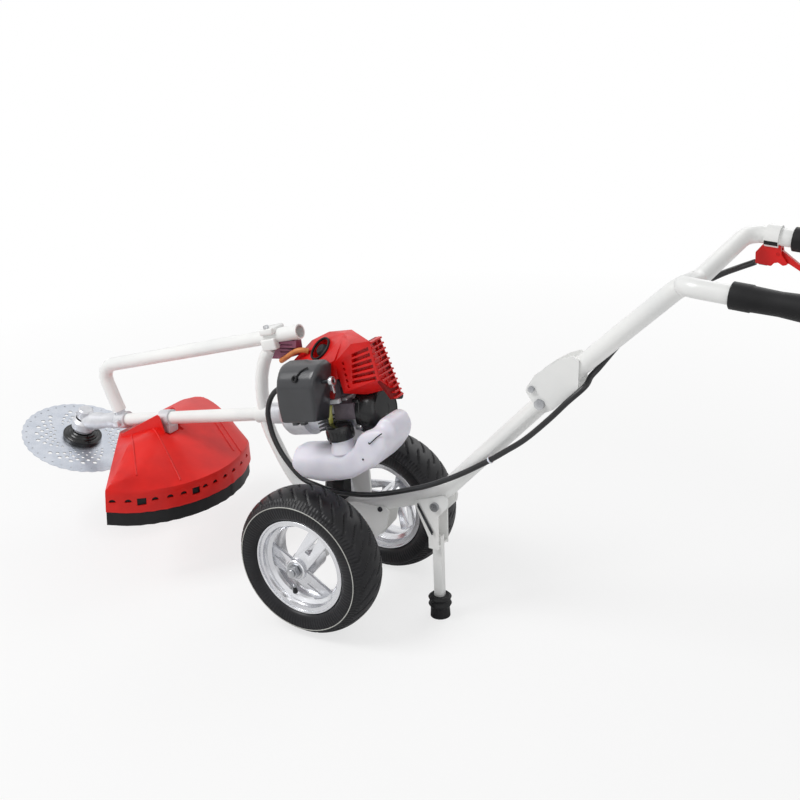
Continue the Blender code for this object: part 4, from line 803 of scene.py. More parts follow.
def build_axle():
    """Axle shaft with a chamfer at each end."""
    end = TRACK / 2 + HUB_OUTER_END + RUNNING_GAP + AXLE_NUT_WIDTH + AXLE_STUB
    chamfer = 0.001
    turned("axle_shaft", [(0, end), (AXLE_RADIUS - chamfer, end), (AXLE_RADIUS, end - chamfer),
                          (AXLE_RADIUS, chamfer - end), (AXLE_RADIUS - chamfer, -end), (0, -end)],
           12, axle, turn=ALONG_Y, material="steel")


def main_tube_points():
    """Main tube axis from its front socket to just past the handle pivot."""
    low_bend = (0.205, 0.120)
    pivot = Vector((PIVOT_X, PIVOT_RISE))
    rise = (pivot - Vector(low_bend)).normalized()
    return [(-0.025, 0.054), (0.030, 0.054), low_bend, tuple(pivot + rise * 0.012)]


def build_base_bracket():
    """Axle tube with two side plates that hold the main tube between them."""
    half = TRACK / 2 - HUB_INNER_END - RUNNING_GAP
    outline = rounded_outline(mm([(-20, -23), (-20, 9), (-15, 59), (17, 66), (100, 71), (90, 30),
                                  (60, -7), (25, -23)]), 0.006, 1)
    bracket = rod("base_bracket", AXLE_TUBE_RADIUS, 2 * half, 12, axle, turn=ALONG_Y,
                  material="white_paint")
    across = MAIN_TUBE_RADIUS + GAP + PLATE_THICKNESS / 2
    for side, place in (("left", -across), ("right", across)):
        bracket = join(bracket, plate(f"{side}_plate_shape", outline, PLATE_THICKNESS, axle,
                                      (0, place, 0)))
    turned("base_bracket.bolt", mm([(0, 4.4), (3.4, 4.2), (4.6, 3), (5, 0), (0, 0)]), 8, axle,
           (0.079, -0.0192, 0.0645), UPRIGHT, "dark_steel")
    bore = rod("axle_tube_bore", AXLE_RADIUS + GAP, 2 * half + 0.01, 12, axle, turn=ALONG_Y)
    cut(bracket, bore)


def build_main_tube():
    """Main tube with two welded ears for the stand's pivot bolt."""
    route = rounded_route(upright(main_tube_points()), 0.060)
    pipe = tube("main_tube", route, MAIN_TUBE_RADIUS, 12, axle, material="white_paint")
    ear = mm([(-9, -9), (-13, 2), (-12, 20), (22, 36), (22, 4), (9, -9)])
    inside = MAIN_TUBE_RADIUS - PLATE_THICKNESS / 2 - 0.0004
    for side, place in (("left", -inside), ("right", inside)):
        pipe = join(pipe, plate(f"{side}_ear_shape", ear, PLATE_THICKNESS, stand, (0, place, 0)))
    socket = rod("front_socket", HOOP_RADIUS + RUNNING_GAP, 0.100, 12, axle, (-0.025, 0, 0.054),
                 ALONG_X)
    pipe = cut(pipe, socket)
    stand_bolt = rod("stand_bolt_hole", 0.005, 0.08, 12, stand, turn=ALONG_Y)
    handle_bolt = rod("handle_bolt_hole", 0.0053, 0.08, 12, handle, turn=ALONG_Y)
    cut(pipe, stand_bolt, handle_bolt)


def arm_points():
    """Arm axis from its open rear end, over the saddle, down to the front clamp."""
    clamp = Vector(on_shaft(ARM_CLAMP_AT))
    lean = math.radians(22.2)
    up = Vector((-math.sin(lean), math.cos(lean)))
    corner = clamp + up * 0.122
    saddle = saddle_point()
    back = (saddle - corner).normalized()
    return saddle + back * 0.067, corner, clamp + up * 0.021, up


def saddle_point():
    """Where the arm's axis passes over the hoop's top."""
    sleeve = Vector(on_shaft(SLEEVE_AT))
    return sleeve + Vector((0.033, 0.1628))


def build_hoop():
    """Curved riser with the shaft's sleeve and the arm's saddle welded on."""
    sleeve = Vector(on_shaft(SLEEVE_AT))
    shape = mm([(33, 140), (14, 121), (0, 78), (-2, 28), (5, -23), (23, -62), (50, -110),
                (78, -139)])
    points = [tuple(sleeve + Vector(point)) for point in shape]
    points += [(-0.070, 0.0545), (-0.045, 0.054), (0.015, 0.054)]
    route = smooth_route(upright(points), 2)
    hoop = tube("hoop_frame", route, HOOP_RADIUS, 10, axle, material="white_paint")
    ring = rod("sleeve_shape", SLEEVE_RADIUS, SLEEVE_LENGTH, 16, engine, (SLEEVE_AT, 0, 0), ALONG_X)
    saddle = saddle_point()
    rear, corner = arm_points()[:2]
    slope = math.atan2(rear[1] - corner[1], rear[0] - corner[0])
    block = box("saddle_shape", (0.034, 0.040, 0.022), axle,
                (saddle[0] + 0.003, 0, saddle[1] - 0.0117), (0, -slope, 0), bevel=0.003)
    hoop = join(hoop, ring, block)
    shaft_bore = rod("sleeve_bore", SHAFT_TUBE_RADIUS + GAP, 0.08, 16, engine, (SLEEVE_AT, 0, 0),
                     ALONG_X)
    arm_groove = rod("saddle_groove", ARM_RADIUS + GAP, 0.12, 16, axle,
                     (saddle[0], 0, saddle[1]), (0, math.pi / 2 - slope, 0))
    cut(hoop, shaft_bore, arm_groove)


def build_arm():
    """Top arm that braces the shaft's front end, with its clamp cap and bolts."""
    rear, corner, foot, up = arm_points()
    route = rounded_route(upright([rear, corner, foot]), 0.032, 4)
    tube("arm_tube", route, ARM_RADIUS, 12, axle, material="white_paint", wall=ARM_WALL)
    slope = math.atan2(rear[1] - corner[1], rear[0] - corner[0])
    saddle = saddle_point()
    tilt = (0, -slope, 0)
    lift = Vector((-math.sin(slope), math.cos(slope)))
    middle = saddle + lift * 0.0135
    cap = box("arm_clamp_cap", (0.032, 0.040, 0.012), axle, (middle[0] + 0.003, 0, middle[1]),
              tilt, material="white_paint", bevel=0.003)
    groove = rod("cap_groove", ARM_RADIUS + GAP, 0.12, 16, axle, (saddle[0], 0, saddle[1]),
                 (0, math.pi / 2 - slope, 0))
    cut(cap, groove)
    head_place = saddle + lift * (0.0195 + GAP)
    turned("arm_clamp_bolt", [(0, 0.006), (0.0045, 0.006), (0.0055, 0.004), (0.0055, 0), (0, 0)],
           10, axle, (head_place[0] + 0.003, -0.0135, head_place[1]), tilt, "steel")
    clamp = rod("shaft_clamp", SHAFT_TUBE_RADIUS + 0.005, 0.028, 16, engine,
                (ARM_CLAMP_AT, 0, 0), ALONG_X, "cast_aluminium")
    centre = Vector(on_shaft(ARM_CLAMP_AT))
    stub_middle = centre + up * 0.030
    lean = math.atan2(up[0], up[1])
    stub = rod("clamp_stub", ARM_RADIUS - ARM_WALL - STUB_CLEARANCE, 0.034, 14, axle,
               (stub_middle[0], 0, stub_middle[1]), (0, lean, 0))
    lug = box("clamp_lug", (0.016, 0.014, 0.014), engine, (ARM_CLAMP_AT, -0.020, 0), bevel=0.002)
    bore = rod("clamp_bore", SHAFT_TUBE_RADIUS + GAP, 0.06, 16, engine, (ARM_CLAMP_AT, 0, 0),
               ALONG_X)
    cut(join(clamp, stub, lug), bore)


def build_shaft():
    """Outer shaft tube from the gear head to the clutch housing."""
    front = HEAD_AT + HEAD_NECK_START + GAP
    rear = SLEEVE_AT + SLEEVE_LENGTH / 2 + COLLAR_LENGTH
    tube("shaft_tube", [(front, 0, 0), (rear, 0, 0)], SHAFT_TUBE_RADIUS, 16, engine,
         material="white_paint", wall=SHAFT_TUBE_WALL)


def build_gear_head():
    """Angle gearbox: body, top boss and neck, hollowed for the bevel gears."""
    body = turned("gear_head", [(0, 0.033), (0.013, 0.033), (0.016, 0.030), (0.0165, 0.012),
                                (0.0245, 0.003), (0.0255, -0.012),
                                (0.021, -0.020), (0, -0.020)], 14, head,
                  material="cast_aluminium")
    neck = turned("neck_shape", [(0, HEAD_NECK_END), (0.0178, HEAD_NECK_END), (0.0178, 0.088),
                                 (0.0160, 0.086), (0.0160, 0.060), (0.0185, 0.050),
                                 (0.0185, 0.010), (0, 0.010)],
                  12, engine, (HEAD_AT, 0, 0), ALONG_X)
    screw_boss = rod("head_screw", 0.005, 0.016, 8, head, (-0.018, 0, 0.008), (0, -0.9, 0))
    body = join(body, neck, screw_boss)
    cavity = turned("gear_room", [(0, 0.012), (0.0185, 0.012), (0.0200, -0.011), (0, -0.011)],
                    12, head)
    shaft_room = turned("pinion_room", [(0, 0.026), (0.0145, 0.026), (0.0145, 0), (0, 0)], 10,
                        engine, (HEAD_AT, 0, 0), ALONG_X)
    shaft_bore = rod("bearing_bore", DRIVE_SHAFT_RADIUS + GAP, 0.12, 8, engine,
                     (HEAD_AT + 0.060, 0, 0), ALONG_X)
    length = HEAD_NECK_END - HEAD_NECK_START + 0.01
    tube_seat = rod("tube_seat", SHAFT_TUBE_RADIUS + GAP, length, 16, engine,
                    (HEAD_AT + HEAD_NECK_START + length / 2, 0, 0), ALONG_X)
    spindle_bore = rod("spindle_bore", 0.006 + GAP, 0.030, 12, head, (0, 0, -0.015))
    cut(body, cavity, shaft_room, shaft_bore, tube_seat, spindle_bore)


def bevel_gear(name, teeth, cone_angle, parent, at, turn, start):
    """Straight bevel gear with its cone's tip at its origin, along local Z."""
    inward = (CONE_DISTANCE - GEAR_FACE) / CONE_DISTANCE
    side, down = math.sin(cone_angle), math.cos(cone_angle)
    pitch = math.tau / teeth
    ring = []
    for tooth in range(teeth):
        for offset, lift in ((-0.28, -TOOTH_ROOT), (-0.10, TOOTH_TIP), (0.10, TOOTH_TIP),
                             (0.28, -TOOTH_ROOT)):
            angle = pitch * (tooth + start + offset)
            radius = CONE_DISTANCE * side + lift * down
            height = CONE_DISTANCE * down - lift * side
            ring.append(Vector((radius * math.cos(angle), radius * math.sin(angle), height)))
    shape = bmesh.new()
    outer = [shape.verts.new(point) for point in ring]
    inner = [shape.verts.new(point * inward) for point in ring]
    root_height = CONE_DISTANCE * down + TOOTH_ROOT * side
    back = shape.verts.new((0, 0, root_height + 0.002))
    front = shape.verts.new((0, 0, root_height * inward))
    for index in range(len(ring)):
        following = (index + 1) % len(ring)
        shape.faces.new((outer[index], outer[following], inner[following], inner[index]))
        shape.faces.new((outer[following], outer[index], back))
        shape.faces.new((inner[index], inner[following], front))
    bmesh.ops.recalc_face_normals(shape, faces=shape.faces)
    mesh = bpy.data.meshes.new(name)
    shape.to_mesh(mesh)
    shape.free()
    return put(name, mesh, parent, at, turn, None)


def gear_cone_angles():
    """Pitch cone angles of gear and pinion for the angle between their axes."""
    between = math.pi / 2 + SHAFT_SLOPE + BLADE_TILT
    gear = math.atan2(math.sin(between), PINION_TEETH / GEAR_TEETH + math.cos(between))
    return gear, between - gear


def build_drive_line():
    """Drive shaft with its bevel pinion at the front and the clutch drum at the rear."""
    gear_angle, pinion_angle = gear_cone_angles()
    shaft_start = HEAD_AT + 0.010
    shaft_end = CLUTCH_REAR_AT - 0.030
    shaft = rod("drive_shaft", DRIVE_SHAFT_RADIUS, shaft_end - shaft_start, 8, engine,
                ((shaft_start + shaft_end) / 2, 0, 0), ALONG_X, "steel")
    pinion = bevel_gear("pinion_shape", PINION_TEETH, pinion_angle, engine, (HEAD_AT, 0, 0),
                        ALONG_X, 0)
    join(shaft, pinion)
    rim = 0.0355
    drum = [(rim, 0.020), (rim, 0), (0.012, -0.001), (0.010, -0.010),
            (DRIVE_SHAFT_RADIUS + GAP, -0.010), (DRIVE_SHAFT_RADIUS + GAP, 0.003),
            (rim - 0.0025, 0.003), (rim - 0.0025, 0.020)]
    turned("clutch_drum", drum, 16, engine,
           (CLUTCH_REAR_AT - 0.033, 0, 0), ALONG_X, "steel", ring=True)
    return gear_angle


def build_blade(gear_angle):
    """Output spindle with its gear, dust cup, perforated disc and clamping nut."""
    seat_drop = DISC_DROP - DISC_THICKNESS / 2
    spindle = turned("output_spindle",
                     [(0, 0), (0.005, 0), (0.006, -0.008), (0.006, -0.0205), (0.011, -0.0205),
                      (0.011, -seat_drop + 0.0003), (DISC_BORE - GAP, -seat_drop + 0.0003),
                      (DISC_BORE - GAP, -seat_drop - 0.0012),
                      (0.005, -seat_drop - 0.0012), (0.005, -0.060), (0, -0.060)],
                     12, head, material="steel")
    gear = bevel_gear("gear_shape", GEAR_TEETH, gear_angle, head, (0, 0, 0), (math.pi, 0, 0), 0.5)
    join(spindle, gear)
    cup = -seat_drop + 0.0006
    turned("dust_cup", [(0.0225, -0.0225), (0.0250, -0.0246), (0.0262, -0.0242),
                        (0.0275, -0.0266), (0.0300, -0.0284), (0.0312, -0.0280),
                        (0.0325, -0.0304), (0.0350, cup + 0.0078), (0.0362, cup + 0.0082),
                        (0.0374, cup + 0.0072),
                        (DUST_CUP_RADIUS, cup + 0.007), (DUST_CUP_RADIUS, cup),
                        (0.0130, cup), (0.0130, cup + 0.003), (0.030, cup + 0.004),
                        (0.0235, -0.0275), (0.0115, -0.0245), (0.0115, -0.0225)],
           16, head, material="starter_plastic", ring=True)
    nut_top = -DISC_DROP - DISC_THICKNESS / 2 - GAP
    turned("blade_nut", [(0.032, nut_top), (0.034, nut_top - 0.002), (0.028, nut_top - 0.006),
                         (0.011, nut_top - 0.007), (0.010, nut_top - 0.015),
                         (0.005 + GAP, nut_top - 0.015), (0.005 + GAP, nut_top)],
           16, head, material="steel", ring=True)
    build_disc()


def build_disc():
    """Toothed disc with four swirls of holes that grow towards the rim, and small rim holes."""
    rim = []
    for tooth in range(DISC_TEETH):
        start = 360 * tooth / DISC_TEETH
        for share, radius in ((0, DISC_RADIUS - 0.0022), (0.12, DISC_RADIUS - 0.0006),
                              (0.30, DISC_RADIUS), (0.50, DISC_RADIUS - 0.0004),
                              (0.75, DISC_RADIUS - 0.0016)):
            angle = math.radians(start + share * 360 / DISC_TEETH)
            rim.append((radius * math.cos(angle), radius * math.sin(angle)))
    rows = ((0.0955, 0.0047, 0), (0.0855, 0.0042, 7.5), (0.0760, 0.0036, 15),
            (0.0670, 0.0031, 22.5), (0.0590, 0.0026, 30))
    places = []
    for sector in range(4):
        for distance, radius, swirl in rows:
            for column in range(5):
                turn = math.radians(90 * sector + 15 * column + swirl)
                places.append((distance, turn, radius))
    for number in range(DISC_TEETH):
        places.append((0.1175, math.tau * (number + 0.3) / DISC_TEETH, 0.0017))
    holes = [arc((0, 0), DISC_BORE, 0, 345, 23)]
    for distance, turn, radius in places:
        centre = (distance * math.cos(turn), distance * math.sin(turn))
        holes.append(arc(centre, radius, 0, 330, 11))
    plate("blade_disc", rim, DISC_THICKNESS, head, (0, 0, -DISC_DROP), (0, 0, 0),
          material="disc_steel", holes=holes)
    # Walls of dark blued steel line the holes: partly the dark of cut edges, partly painted shade
    # that makes the holes read dark
    half = DISC_THICKNESS / 2 + 0.00005
    points = []
    faces = []
    for loop in holes[1:]:
        first = len(points)
        count = len(loop)
        points += [(*point, height) for height in (half, -half) for point in loop]
        faces += [(first + index, first + (index + 1) % count,
                   first + count + (index + 1) % count, first + count + index)
                  for index in range(count)]
    mesh = bpy.data.meshes.new("hole_walls")
    mesh.from_pydata(points, [], faces)
    put("blade_disc.hole_walls", mesh, head, (0, 0, -DISC_DROP), (0, 0, 0), "dark_steel")


def guard_row(aside):
    """Start and end of the guard's top along the tube, at a distance to one side."""
    radius = GUARD_RADIUS
    end = math.sqrt(radius ** 2 - aside ** 2)
    near = math.radians(GUARD_NEAR_END)
    share = aside / radius
    if aside < 0:
        return GUARD_FRONT + (radius * math.cos(near) - GUARD_FRONT) * share / math.sin(near), end
    trim = between(share, [(0.52, 0), (0.71, 0.15), (0.886, 0.215), (0.967, 0.235)])
    round_off = between(share, [(0.80, 0), (0.886, 0.003), (0.967, 0.028)])
    return GUARD_FRONT + round_off, end - trim * radius


def between(position, places):
    """Straight-line value from sorted (position, value) places."""
    if position <= places[0][0]:
        return places[0][1]
    for (low, first), (high, last) in zip(places, places[1:]):
        if position <= high:
            return first + (last - first) * (position - low) / (high - low)
    return places[-1][1]


def guard_height(along, aside, start, end):
    """Rise of the guard's top: a low cone with its tip beside the shaft, hollow under the shaft."""
    off = abs(aside)
    peak = 0.094
    ahead = (along - start) / max(peak - start, 0.060)
    behind = (end - along) / max(end - peak, 0.060)
    beside = 1 - 0.95 * max(0, off - 0.026) / (GUARD_RADIUS - 0.026)
    rise = 0.057 * max(0, min(ahead, behind, beside))
    rise = 0.003 * (1 - min(1, ahead)) + rise
    return min(rise, 0.044) if off < 0.020 else rise


def guard_grid():
    """Top sheet points in the guard's seat, by rows beside the shaft."""
    asides = [GUARD_RADIUS * math.sin(math.radians(GUARD_NEAR_END + 3 * step))
              for step in range(18)]
    asides += [place * MM for place in (-22, -17, 0, 17, 22, 26)]
    asides += [GUARD_RADIUS * share for share in (0.16, 0.24, 0.32, 0.40, 0.46, 0.52, 0.58, 0.65,
                                                  0.71, 0.76, 0.80, 0.85, 0.90, 0.94, 0.967)]
    grid = []
    for aside in asides:
        start, end = guard_row(aside)
        row = []
        for step in range(15):
            along = start + (end - start) * step / 14
            row.append((along, aside, guard_height(along, aside, start, end)))
        grid.append(row)
    return grid


def guard_boundary(grid):
    """Outer edge of the top sheet: the near corner, the rear arc and the far end."""
    return [row[-1] for row in grid] + list(reversed(grid[-1][:-1]))


def skirt_flare(depth):
    """How far the skirt stands out at a depth below the top sheet."""
    return between(depth, mm([(0, 0), (6, 2), (44, 5), (66, 6.5)]))


def lowered(edge, depth, outward):
    """Boundary points moved down and out from the guard's centre, with shallow flutes low down."""
    moved = []
    flute = 0.0011 * between(depth, mm([(20, 0), (32, 1)])) / MM
    for along, aside, height in edge:
        distance = math.hypot(along, aside)
        wave = flute * math.cos(math.atan2(aside, along) * 55)
        scale = (distance + outward + wave) / distance
        moved.append((along * scale, aside * scale, height - depth))
    return moved


def sheet(name, rows, thickness, parent, at, material):
    """Grid of points as an open sheet, thickened downwards."""
    shape = bmesh.new()
    made = [[shape.verts.new(point) for point in row] for row in rows[0]]
    for first, second in zip(made, made[1:]):
        for index in range(len(first) - 1):
            shape.faces.new((first[index], first[index + 1], second[index + 1], second[index]))
    for band in rows[1:]:
        lines = [[shape.verts.new(point) for point in line] for line in band]
        for first, second in zip(lines, lines[1:]):
            for index in range(len(first) - 1):
                shape.faces.new((first[index], second[index], second[index + 1],
                                 first[index + 1]))
    bmesh.ops.remove_doubles(shape, verts=shape.verts, dist=0.00005)
    bmesh.ops.recalc_face_normals(shape, faces=shape.faces)
    highest = max(shape.faces, key=lambda face: face.calc_center_median().z)
    if highest.normal.z < 0:
        bmesh.ops.reverse_faces(shape, faces=shape.faces)
    mesh = bpy.data.meshes.new(name)
    shape.to_mesh(mesh)
    shape.free()
    piece = put(name, mesh, parent, at, (0, 0, 0), material)
    wall = piece.modifiers.new("wall", "SOLIDIFY")
    wall.thickness = thickness
    wall.offset = -1
    wall.use_even_offset = True
    return piece


def build_guard():
    """Red guard with a deep skirt, its rubber strip and its clamp on the shaft."""
    grid = guard_grid()
    edge = guard_boundary(grid)
    place = (-GUARD_CENTRE_AHEAD, 0, -GUARD_DROP)
    skirt = [lowered(edge, depth, skirt_flare(depth))
             for depth in (0, 0.003, 0.006, 0.012, 0.020, 0.032, SKIRT_DEPTH)]
    guard = sheet("guard", [grid, skirt], GUARD_WALL, guard_seat, place, "guard_plastic")
    cut(guard, *guard_slots())
    guard_ribs()
    inside = -GUARD_WALL - RUNNING_GAP - 0.0005
    strip = [lowered(edge, depth, skirt_flare(depth) + inside)
             for depth in (0.010, 0.020, 0.032, SKIRT_DEPTH, STRIP_DEPTH)]
    sheet("guard_edge", [[], strip], GUARD_WALL, guard_seat, place, "rubber")
    ring = rod("guard_clamp", SHAFT_TUBE_RADIUS + 0.0045, 0.026, 16, engine,
               (GUARD_CLAMP_AT, 0, 0), ALONG_X, "cast_aluminium")
    foot = box("guard_clamp_foot", (0.024, 0.026, 0.022), guard_seat,
               (0.004, 0, -0.0165), bevel=0.002)
    bore = rod("guard_clamp_bore", SHAFT_TUBE_RADIUS + GAP, 0.05, 16, engine,
               (GUARD_CLAMP_AT, 0, 0), ALONG_X)
    cut(join(ring, foot), bore)


def on_guard(along, aside, lift=0):
    """Place on the guard's top, given in millimetres beside and along the shaft."""
    start, end = guard_row(aside * MM)
    height = guard_height(along * MM, aside * MM, start, end)
    return (along * MM - GUARD_CENTRE_AHEAD, aside * MM, height + lift - GUARD_DROP)


def guard_ribs():
    """Ribs on the guard's top and a gusset on each side of the shaft."""
    lines = [((28, -30), (153, -156)), ((85, -27), (214, -98)), ((112, 116), (222, 62)),
             ((124, 124), (232, 74))]
    for number, (start, end) in enumerate(lines):
        points = []
        for step in range(13):
            share = step / 12
            along = start[0] + (end[0] - start[0]) * share
            aside = start[1] + (end[1] - start[1]) * share
            points.append(on_guard(along, aside, 0.0002))
        tube(f"guard.rib_{number}", points, 0.0017, 6, guard_seat, material="guard_plastic")
    for side, sign in (("near", -1), ("far", 1)):
        corners = [(-10, 12), (94, 86), (100, 84), (114, 50), (94, 50), (40, 26), (-8, 6)]
        points = [(along - 102, sign * aside, height - 72.5) for along, height in corners
                  for aside in (21.5, 25)]
        gusset = hull(f"guard.{side}_gusset", points, guard_seat, "guard_plastic")
        round_edges(gusset, 0.001, 0)


def guard_slots():
    """Half-moon slots along the skirt, with two square ones among them."""
    tools = []
    for number, angle in enumerate((-57, -50, -44, -38, -31, -24.5, -18, -13, -7, 0, 7, 15, 23)):
        turn = math.radians(angle)
        outward = Vector((math.cos(turn), math.sin(turn), 0))
        across = Vector((-math.sin(turn), math.cos(turn), 0))
        centre = outward * 246 + Vector((-102, 0, -72.5 - 20))
        if number in (2, 6):
            shape = [(-9, -9), (9, -9), (9, 6), (-9, 6)]
        else:
            shape = arc((0, -1.5), 7, 0, 180, 6)
        points = [centre + across * wide + Vector((0, 0, high)) + outward * reach
                  for wide, high in shape for reach in (-22, 22)]
        tools.append(hull(f"skirt_slot_{number}", points, guard_seat))
    return tools


def build_engine():
    """Crankcase, finned cylinder and what is bolted on them."""
    case = turned("crankcase",
                  [(0, CRANKCASE_REAR_AT), (STARTER_RADIUS, CRANKCASE_REAR_AT),
                   (STARTER_RADIUS, CRANKCASE_REAR_AT - 0.007),
                   (CRANKCASE_RADIUS, CRANKCASE_REAR_AT - 0.008),
                   (CRANKCASE_RADIUS - 0.003, 0), (CRANKCASE_RADIUS, CLUTCH_REAR_AT + 0.012),
                   (0.043, CLUTCH_REAR_AT + 0.011), (0.043, CLUTCH_REAR_AT + GAP),
                   (0, CLUTCH_REAR_AT + GAP)], 16, engine, turn=ALONG_X, material="cast_aluminium")
    block = box("cylinder_seat", (0.066, 0.062, CYLINDER_BASE - GAP + 0.010), engine,
                (0, 0, (CYLINDER_BASE - GAP - 0.010) / 2), bevel=0.003)
    crank_bore = rod("crank_bore", 0.008 + GAP, 0.3, 16, engine, turn=ALONG_X)
    cut(join(case, block), crank_bore)
    # Near side of the crankcase, in the alloy darkened as painted shade
    hull("crankcase.side", [(11, -45, 27), (55, -45, 27), (53, -45, -3), (7, -45, -3),
                            (8, -20, 30), (56, -20, 30), (53, -20, -3), (5, -20, -3)], engine,
         "painted_shade_alloy")
    for number in range(4):
        box(f"crankcase.rib_{number}", (0.030, 0.030, 0.0022), engine,
            (-0.016, -0.034, (-20 + 7 * number) * MM), (0, math.radians(-8), 0), "dark_steel")
    build_cylinder()
    build_crankshaft()
    build_clutch_housing()
    build_starter()


def build_cylinder():
    """Cylinder with cooling fins."""
    pitch = 0.0155
    profile = [(0, CYLINDER_TOP), (CYLINDER_RADIUS - 0.004, CYLINDER_TOP)]
    height = CYLINDER_TOP - 0.004
    while height > CYLINDER_BASE + pitch:
        profile += [(CYLINDER_RADIUS, height), (CYLINDER_RADIUS, height - 0.004),
                    (CYLINDER_RADIUS - 0.008, height - 0.005),
                    (CYLINDER_RADIUS - 0.008, height - pitch + 0.001)]
        height -= pitch
    profile += [(CYLINDER_RADIUS, CYLINDER_BASE + 0.005), (CYLINDER_RADIUS, CYLINDER_BASE),
                (0, CYLINDER_BASE)]
    # The cylinder takes the alloy darkened as painted shade
    turned("cylinder", profile, 12, engine, material="painted_shade_alloy")
    turned("spark_plug_boot", [(0, 0.026), (0.009, 0.026), (0.012, 0.022), (0.012, 0.006),
                               (0.008, 0), (0, 0)], 12, engine, boot_foot(), plug_direction(),
           "rubber")


def boot_foot():
    """Where the tilted boot stands on the cylinder, on the plug opening's axis."""
    outward = Vector(PLUG_OUTWARD).normalized()
    lean = math.sqrt(1 - outward.z ** 2)
    foot_height = CYLINDER_TOP + GAP + 0.0082 * lean
    opening = Vector(PLUG_OPENING)
    return opening - outward * (opening.z - foot_height) / outward.z


def build_crankshaft():
    """Crankshaft with the clutch rotor at the front and the starter hub at the rear."""
    rotor = CLUTCH_REAR_AT - 0.012
    turned("crankshaft", [(0, 0.074), (0.008, 0.074), (0.008, 0.072), (0.018, 0.072),
                          (0.018, 0.064), (0.008, 0.064), (0.008, rotor + 0.010),
                          (0.030, rotor + 0.009), (0.0325, rotor + 0.006),
                          (0.0325, rotor - 0.008), (0.012, rotor - 0.010), (0, rotor - 0.010)],
           16, engine, turn=ALONG_X, material="steel")


def build_clutch_housing():
    """Bell housing that clamps the shaft tube and covers the clutch."""
    front = SLEEVE_AT + SLEEVE_LENGTH / 2 + HOOP_CLEARANCE
    neck = SHAFT_TUBE_RADIUS + GAP
    land = SLEEVE_AT + SLEEVE_LENGTH / 2 + COLLAR_LENGTH + GAP
    profile = [(0.043, CLUTCH_REAR_AT), (0.043, -0.118), (0.039, -0.124), (0.021, -0.142),
               (0.020, front), (neck, front), (neck, land), (DRIVE_SHAFT_RADIUS + GAP, land),
               (DRIVE_SHAFT_RADIUS + GAP, land + 0.014), (0.020, land + 0.015), (0.038, -0.117),
               (0.0385, CLUTCH_REAR_AT)]
    turned("clutch_housing", profile, 16, engine, turn=ALONG_X, material="cast_aluminium",
           ring=True)


def build_starter():
    """Recoil starter housing with its pull grip on the far side."""
    front = 52
    rear = 92
    profile = mm([(0, rear - 0.8), (10, rear - 0.8), (11, rear), (33.5, rear - 0.4),
                  (34.2, rear - 1.2), (35.2, rear + 0.6), (36.6, rear + 0.4), (41, rear - 3),
                  (44, rear - 8), (45.5, rear - 15), (45.5, front + 12), (47, front + 11),
                  (47, front + 6), (45, front + 5), (45, front), (21, front), (21, 78), (0, 78)])
    turned("starter_housing", profile, 16, engine, turn=ALONG_X, material="starter_plastic")
    for number, angle in enumerate((72, 84, 96, 108, 120)):
        ray = math.radians(angle)
        place = (0.076, -0.0455 * math.cos(ray), 0.0455 * math.sin(ray))
        box(f"starter_housing.ridge_{number}", (0.040, 0.0022, 0.005), engine, place,
            (ray - math.pi / 2, 0, 0), "starter_plastic", 0.0008, 1)
    for number, (along, angle) in enumerate(((60, 142), (58, 205), (58, 335), (58, 20))):
        ray = math.radians(angle)
        place = (along * MM, 0.045 * math.cos(ray), 0.045 * math.sin(ray))
        turned(f"starter_housing.screw_{number}",
               mm([(0, 4), (2, 4), (2.2, 3), (4.2, 3), (5.6, 1.5), (5.6, -9), (0, -9)]), 6,
               engine, place, ALONG_X, "steel" if number == 1 else "starter_plastic")
    box("starter_housing.rope_guide", (0.022, 0.014, 0.018), engine, (0.072, 0.043, 0.004),
        material="starter_plastic", bevel=0.003)
    grip_turn = (math.pi / 2, 0, 0)
    grip = rod("starter_grip", 0.007, 0.044, 12, engine,
               (0.0665, 0.061, 0.004), ALONG_X, "rubber")
    rope = rod("starter_rope_end", 0.0022, 0.020, 8, engine, (0.072, 0.050, 0.004), grip_turn)
    collar = rod("grip_collar", 0.006, 0.008, 10, engine, (0.072, 0.0545, 0.004), grip_turn)
    round_edges(join(grip, collar, rope), 0.0025, 2)


def plug_direction():
    """Turn that points local Z out of the cover's near roof."""
    return Vector(PLUG_OUTWARD).to_track_quat("Z", "Y").to_euler()


def build_shroud():
    """Red cylinder cover: a sloping front with the plug's opening and a slotted rear box."""
    front = hull("engine_shroud", [(-88, -38, 76), (-58, -52, 76), (42, -52, 76), (42, 45, 76),
                                   (-88, 45, 76), (-92, -9, 99), (-92, 45, 95), (-50, 17, 134),
                                   (-50, 45, 123), (-4, 14.5, 148), (-4, 45, 123), (46, -7, 148),
                                   (46, 15, 148), (46, 45, 120), (42, -52, 111)],
                 engine, "red_plastic")
    rear = hull("rear_box", [(42, -52, 107), (87, -52, 139), (127, -52, 141), (129, -52, 72),
                             (68, -52, 55), (46, -52, 49), (34, -36, 105), (38, -36, 50),
                             (46, 15, 148), (44, -7, 148), (122, -47, 141), (50, 45, 112),
                             (128, 2, 22), (118, -8, 100), (60, 45, 32), (100, 38, 24)], engine)
    shroud = join(front, rear)
    room = hull("shroud_room", [(-84, -40, 60), (34, -40, 60), (34, 39, 60), (-84, 39, 60),
                                (-80, -4, 92), (30, -30, 98), (30, 34, 110), (-80, 34, 92)], engine)
    dome = rod("dome_room", 0.0485, 0.090, 24, engine, (0.085, 0, 0), ALONG_X)
    opening = rod("plug_opening", 0.0205, 0.05, 16, engine, PLUG_OPENING, plug_direction())
    shroud = cut(shroud, room, dome, opening, *side_slots())
    round_edges(shroud, 0.0022, 1)
    turned("engine_shroud.plug_lip", [(0.0205, -0.006), (0.0205, 0.0025), (0.0222, 0.0042),
                                      (0.0240, 0.0030), (0.0246, -0.001), (0.0246, -0.006)],
           14, engine, PLUG_OPENING, plug_direction(), "rubber", ring=True)
    build_comb()
    build_lead()


